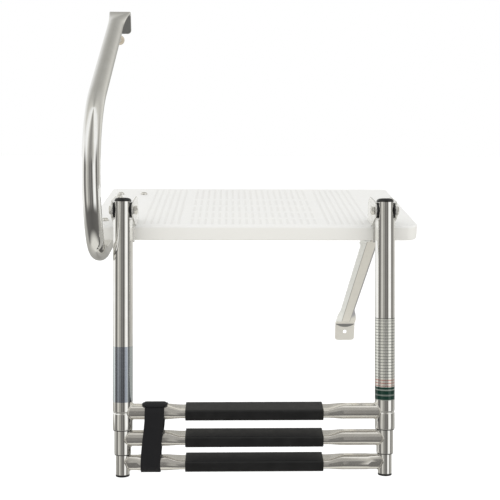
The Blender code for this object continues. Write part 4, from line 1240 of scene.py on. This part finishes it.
def tread(name, level, body):
    stations = [(TREAD_HALF - TREAD_EDGE * (1 - math.cos(a)), TREAD_EDGE * (1 - math.sin(a)))
                for a in quarter(6)]
    stations += [(0.075, 0.0), (0.04, 0.0)]
    stations += [(-x, inset) for x, inset in reversed(stations)]
    rings = []
    for x, inset in stations:
        width, height = (size + 2 * (TREAD_WALL - inset) for size in RUNG_FLAT)
        rings.append(level_ring(x, rounded(width, height, TREAD_CORNER - inset, 96)))
    for x in (-TREAD_HALF, TREAD_HALF):
        rings.append(level_ring(x, stadium(*(size + 2 * GAP for size in RUNG_FLAT), 96)))
    shape = bmesh.new()
    skin(shape, rings, cyclic=True)
    piece(f"{name}_sleeve", shape, RUBBER, body, [name],
          on_ladder(z=level), crease=40)


def rungs():
    for name, level, tube_r, body in (("upper", RUNG_LEVELS[0], UPPER_R, "ladder"),
                                      ("middle", RUNG_LEVELS[1], MIDDLE_R, "middle_section"),
                                      ("lower", RUNG_LEVELS[2], LOWER_R, "lower_section")):
        rung(f"{name}_rung", level, tube_r, body)
        tread(f"{name}_tread", level, body)


# ---------------------------------------------------------------- strap
STRAP_INSIDE = RUNG_R + 0.0004
STRAP_WIDTH, STRAP_THICK, STRAP_SKEW, STRAP_SAG = 0.0305, 0.0014, -0.0066, 0.0012
COVER_WIDTH, COVER_THICK, COVER_GAP, COVER_BACK, COVER_SWEEP = 0.0405, 0.0016, 0.0017, -0.006, 142


def ribbon_section(width, thickness):
    """Across the ribbon: x sideways, h out of it; a little thicker along the woven edges."""
    half, edge = width / 2, width / 2 + 0.0004
    points = []
    for i in range(25):
        u = -1 + i / 12
        points.append((half * u, thickness * (0.92 + smooth((abs(u) - 0.86) / 0.10) * 0.12)))
    points += [(edge, thickness * 0.75), (edge, thickness * 0.25)]
    points += [(half * (1 - i / 4), 0.0) for i in range(9)]
    return points + [(-edge, thickness * 0.25), (-edge, thickness * 0.75)]


def strap_loop():
    """The ribbon round all three rungs, as rings of its section."""
    stack = RUNG_LEVELS[0] - RUNG_LEVELS[2]
    shares = (0.17, 0.34, 0.5, 0.66, 0.83)
    turns = [direction(math.pi * i / 24) for i in range(25)]
    path = [(turn * STRAP_INSIDE, turn) for turn in turns]
    path += [(Vector((-STRAP_INSIDE, -stack * t)), Vector((-1, 0))) for t in shares]
    path += [(Vector((0, -stack - STRAP_SAG)) - turn * STRAP_INSIDE, -turn) for turn in turns]
    path += [(Vector((STRAP_INSIDE, -stack * t)), Vector((1, 0))) for t in reversed(shares)]
    rings = []
    for spot, out in path:
        skew = STRAP_SKEW * smooth(-spot.y / stack)
        rings.append([Vector((STRAP_X + x + skew, *(spot + out * h)))
                      for x, h in ribbon_section(STRAP_WIDTH, STRAP_THICK)])
    return rings


def strap_cover():
    """The wider piece over the top, whose corners droop at its sides and tuck in at its end."""
    outside = STRAP_INSIDE + COVER_GAP
    path = [(Vector((outside, COVER_BACK * (1 - i / 6))), Vector((1, 0))) for i in range(7)]
    turns = [direction(math.radians(COVER_SWEEP) * i / 24) for i in range(1, 25)]
    path += [(turn * outside, turn) for turn in turns]
    rings = []
    last = len(path) - 1
    for k, (spot, out) in enumerate(path):
        ring = []
        for x, h in ribbon_section(COVER_WIDTH, COVER_THICK):
            side = abs(x) / (COVER_WIDTH / 2)
            droop = 0.0022 * smooth((side - 0.72) / 0.28)
            tuck = smooth(1 - (last - k) / 6) * smooth((side - 0.6) / 0.4) * 0.0030
            taper = 1 - 0.10 * smooth(1 - min(k, last - k) / 3) * smooth((side - 0.5) / 0.5)
            y, z = spot + out * (h - droop)
            ring.append(Vector((STRAP_X + x * taper, y, z + (tuck if out.x < 0 else 0))))
        rings.append(ring)
    return rings


def strap():
    shape = bmesh.new()
    skin(shape, strap_loop(), cyclic=True)
    skin(shape, strap_cover())
    obj = piece("strap_webbing", shape, WEBBING, "ladder", ["strap"],
                on_ladder(z=RUNG_LEVELS[0]), crease=60)
    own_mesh(obj)


# ---------------------------------------------------------------- labels
FILM_SPAN, FILM_LIFT, FILM_THICK = 105, 0.00005, 0.00012


def film(name, x, top, bottom, material):
    """A thin film round the front of an upper tube."""
    shape = bmesh.new()
    rows = []
    for z, grow in ((bottom, 0.0), (bottom, FILM_THICK), (top, FILM_THICK), (top, 0.0)):
        ring = arc((0, 0), UPPER_R + FILM_LIFT + grow, -90 - FILM_SPAN, -90 + FILM_SPAN, 48)
        rows.append([shape.verts.new(point) for point in raised(ring, z)])
    for low, high in zip(rows, rows[1:] + rows[:1]):
        for k in range(48):
            shape.faces.new((low[k], low[k + 1], high[k + 1], high[k]))
    shape.faces.new([row[0] for row in rows])
    shape.faces.new([row[-1] for row in rows])
    piece(name, shape, material, "ladder", [],
          on_ladder(x))


# ---------------------------------------------------------------- build
deck()
fasteners()
brackets()
strut()
transom_angle()
handrail()
standoff()
upper_tubes()
sliding_tubes()
rungs()
strap()
film("label_film_left", -RAIL_X, *LEFT_FILM, film_left())
film("label_film_right", RAIL_X, *RIGHT_FILM, film_right())


# ---------------------------------------------------------------- floor, light and camera
def floor():
    shape = bmesh.new()
    bmesh.ops.create_grid(shape, x_segments=8, y_segments=8, size=6.0)
    obj = loose("floor", shape)
    mat, tree, shader = new_material("pale_floor", Roughness=0.9, Specular_IOR_Level=0.0)
    grain = noise(tree, object_space(tree), 30.0)
    connect(tree, mix(tree, grain, (0.93, 0.93, 0.93, 1), (0.95, 0.95, 0.95, 1)),
            shader.inputs["Base Color"])
    obj.data.materials.append(mat)
    obj.location.z = FLOOR_Z
    obj.visible_glossy = False
    obj.visible_diffuse = False


# What polished steel reflects: (azimuth, display level) stops round the horizon, higher up, lower
# down and straight below. Azimuth is 0 towards the front and positive to the right, in degrees.
HORIZON = ((-180, 170), (-170, 215), (-152, 244), (-102, 254), (-92, 225), (-85, 118), (-64, 112),
           (-56, 190), (-42, 215), (-36, 196), (-31, 156), (-16, 162), (-10, 116), (-4, 100),
           (2, 134), (8, 132), (13, 94), (24, 108), (30, 190), (37, 248), (58, 254), (66, 215),
           (72, 104), (86, 108), (94, 168), (102, 192), (114, 150), (128, 216), (150, 225),
           (164, 180), (180, 170))
ABOVE = ((-180, 166), (-150, 172), (-125, 187), (-105, 208), (-90, 242), (-60, 250), (-42, 212),
         (-22, 160), (0, 142), (22, 160), (42, 208), (58, 250), (90, 246), (105, 208), (125, 190),
         (150, 175), (180, 166))
BELOW = ((-180, 160), (-100, 180), (-75, 104), (0, 92), (75, 104), (100, 180), (180, 160))
NADIR = ((-180, 150), (-100, 190), (-60, 222), (60, 222), (100, 190), (180, 150))
FLOOR_Z = -0.90
DIFFUSE_STRENGTH = 1.27


COOL, WARM, OLIVE = (1.0, 1.0, 0.995), (1.0, 0.992, 0.962), (1.0, 0.985, 0.96)


def tinted(level):
    """A display level as linear light, tinted by how bright it is."""
    tint = COOL if level > 232 else WARM if level > 150 else OLIVE
    return tuple(linear(level * t) for t in tint)


def around(tree, factor, stops):
    """A ramp round the azimuth, whose factor runs from 0 at -180 degrees to 1 at 180."""
    return ramp(tree, factor, [((degrees + 180) / 360, tinted(level)) for degrees, level in stops])


def reflections(tree):
    """The colour that glossy rays see in each direction."""
    x, y, z = split(tree, add(tree, "TexCoord").outputs["Generated"])
    turn = math_node(tree, "ARCTAN2", x, times(tree, y, -1.0))
    place = plus(tree, math_node(tree, "DIVIDE", turn, 2 * math.pi), 0.5)
    horizon, above, below, nadir = (around(tree, place, stops)
                                    for stops in (HORIZON, ABOVE, BELOW, NADIR))
    behind = to_range(tree, size_of(tree, turn), 1.7, 2.4, 0, 1, True)
    beside = to_range(tree, size_of(tree, turn), 0.35, 0.95, 0, 1, True)
    start = minus(tree, to_range(tree, beside, 0, 1, 0.42, 0.22), times(tree, behind, 0.27))
    stop = plus(tree, to_range(tree, beside, 0, 1, 0.58, 0.50), times(tree, behind, 0.30))
    seen = mix(tree, to_range(tree, z, start, stop, 0, 1, True), horizon, above)
    seen = mix(tree, to_range(tree, z, -0.20, -0.40, 0, 1, True), seen, below)
    return mix(tree, to_range(tree, z, -0.66, -0.84, 0, 1, True), seen, nadir)


def world():
    """White for the camera, the reflections for glossy rays and soft light for the rest."""
    sky = bpy.data.worlds.new("studio")
    bpy.context.scene.world = sky
    sky.use_nodes = True
    tree = sky.node_tree
    tree.nodes.clear()
    height = split(tree, add(tree, "TexCoord").outputs["Generated"])["Z"]
    soft = ramp(tree, to_range(tree, height, -1, 1, 0, 1),
                ((0.0, (0.90, 0.885, 0.84)), (0.45, (0.96, 0.95, 0.92)), (0.55, (1.0, 1.0, 1.0)),
                 (1.0, (1.0, 1.0, 1.0))))
    reflected, diffuse, white = (
        add(tree, "Background", {"Color": colour, "Strength": strength}).outputs[0]
        for colour, strength in ((reflections(tree), 1.0), (soft, DIFFUSE_STRENGTH),
                                 ((1, 1, 1, 1), 1.0)))
    rays = add(tree, "LightPath").outputs
    lit = add(tree, "MixShader", {0: rays["Is Glossy Ray"], 1: diffuse, 2: reflected}).outputs[0]
    out = add(tree, "MixShader", {0: rays["Is Camera Ray"], 1: lit, 2: white}).outputs[0]
    connect(tree, out, add(tree, "OutputWorld").inputs["Surface"])


CAMERA_AT = Vector((-0.0373, -1.61463, 0.33952))
PITCH, YAW, ROLL = 0.27521, 0.02371, 0.00742


def camera():
    data = bpy.data.cameras.new("camera")
    data.lens, data.sensor_width = 58.32, 36.0
    data.clip_start, data.clip_end = 0.01, 50.0
    obj = bpy.data.objects.new("camera", data)
    bpy.context.scene.collection.objects.link(obj)
    forward = Vector((math.sin(YAW) * math.cos(PITCH), math.cos(YAW) * math.cos(PITCH),
                      -math.sin(PITCH)))
    right = Vector((math.cos(YAW), -math.sin(YAW), 0.0))
    up = right.cross(forward)
    across = math.cos(ROLL) * right + math.sin(ROLL) * up
    upward = -math.sin(ROLL) * right + math.cos(ROLL) * up
    turn = Matrix((across, upward, -forward)).transposed().to_4x4()
    obj.matrix_world = Matrix.Translation(CAMERA_AT) @ turn
    bpy.context.scene.camera = obj


floor()
world()
camera()
bpy.context.scene.view_settings.view_transform = "Standard"
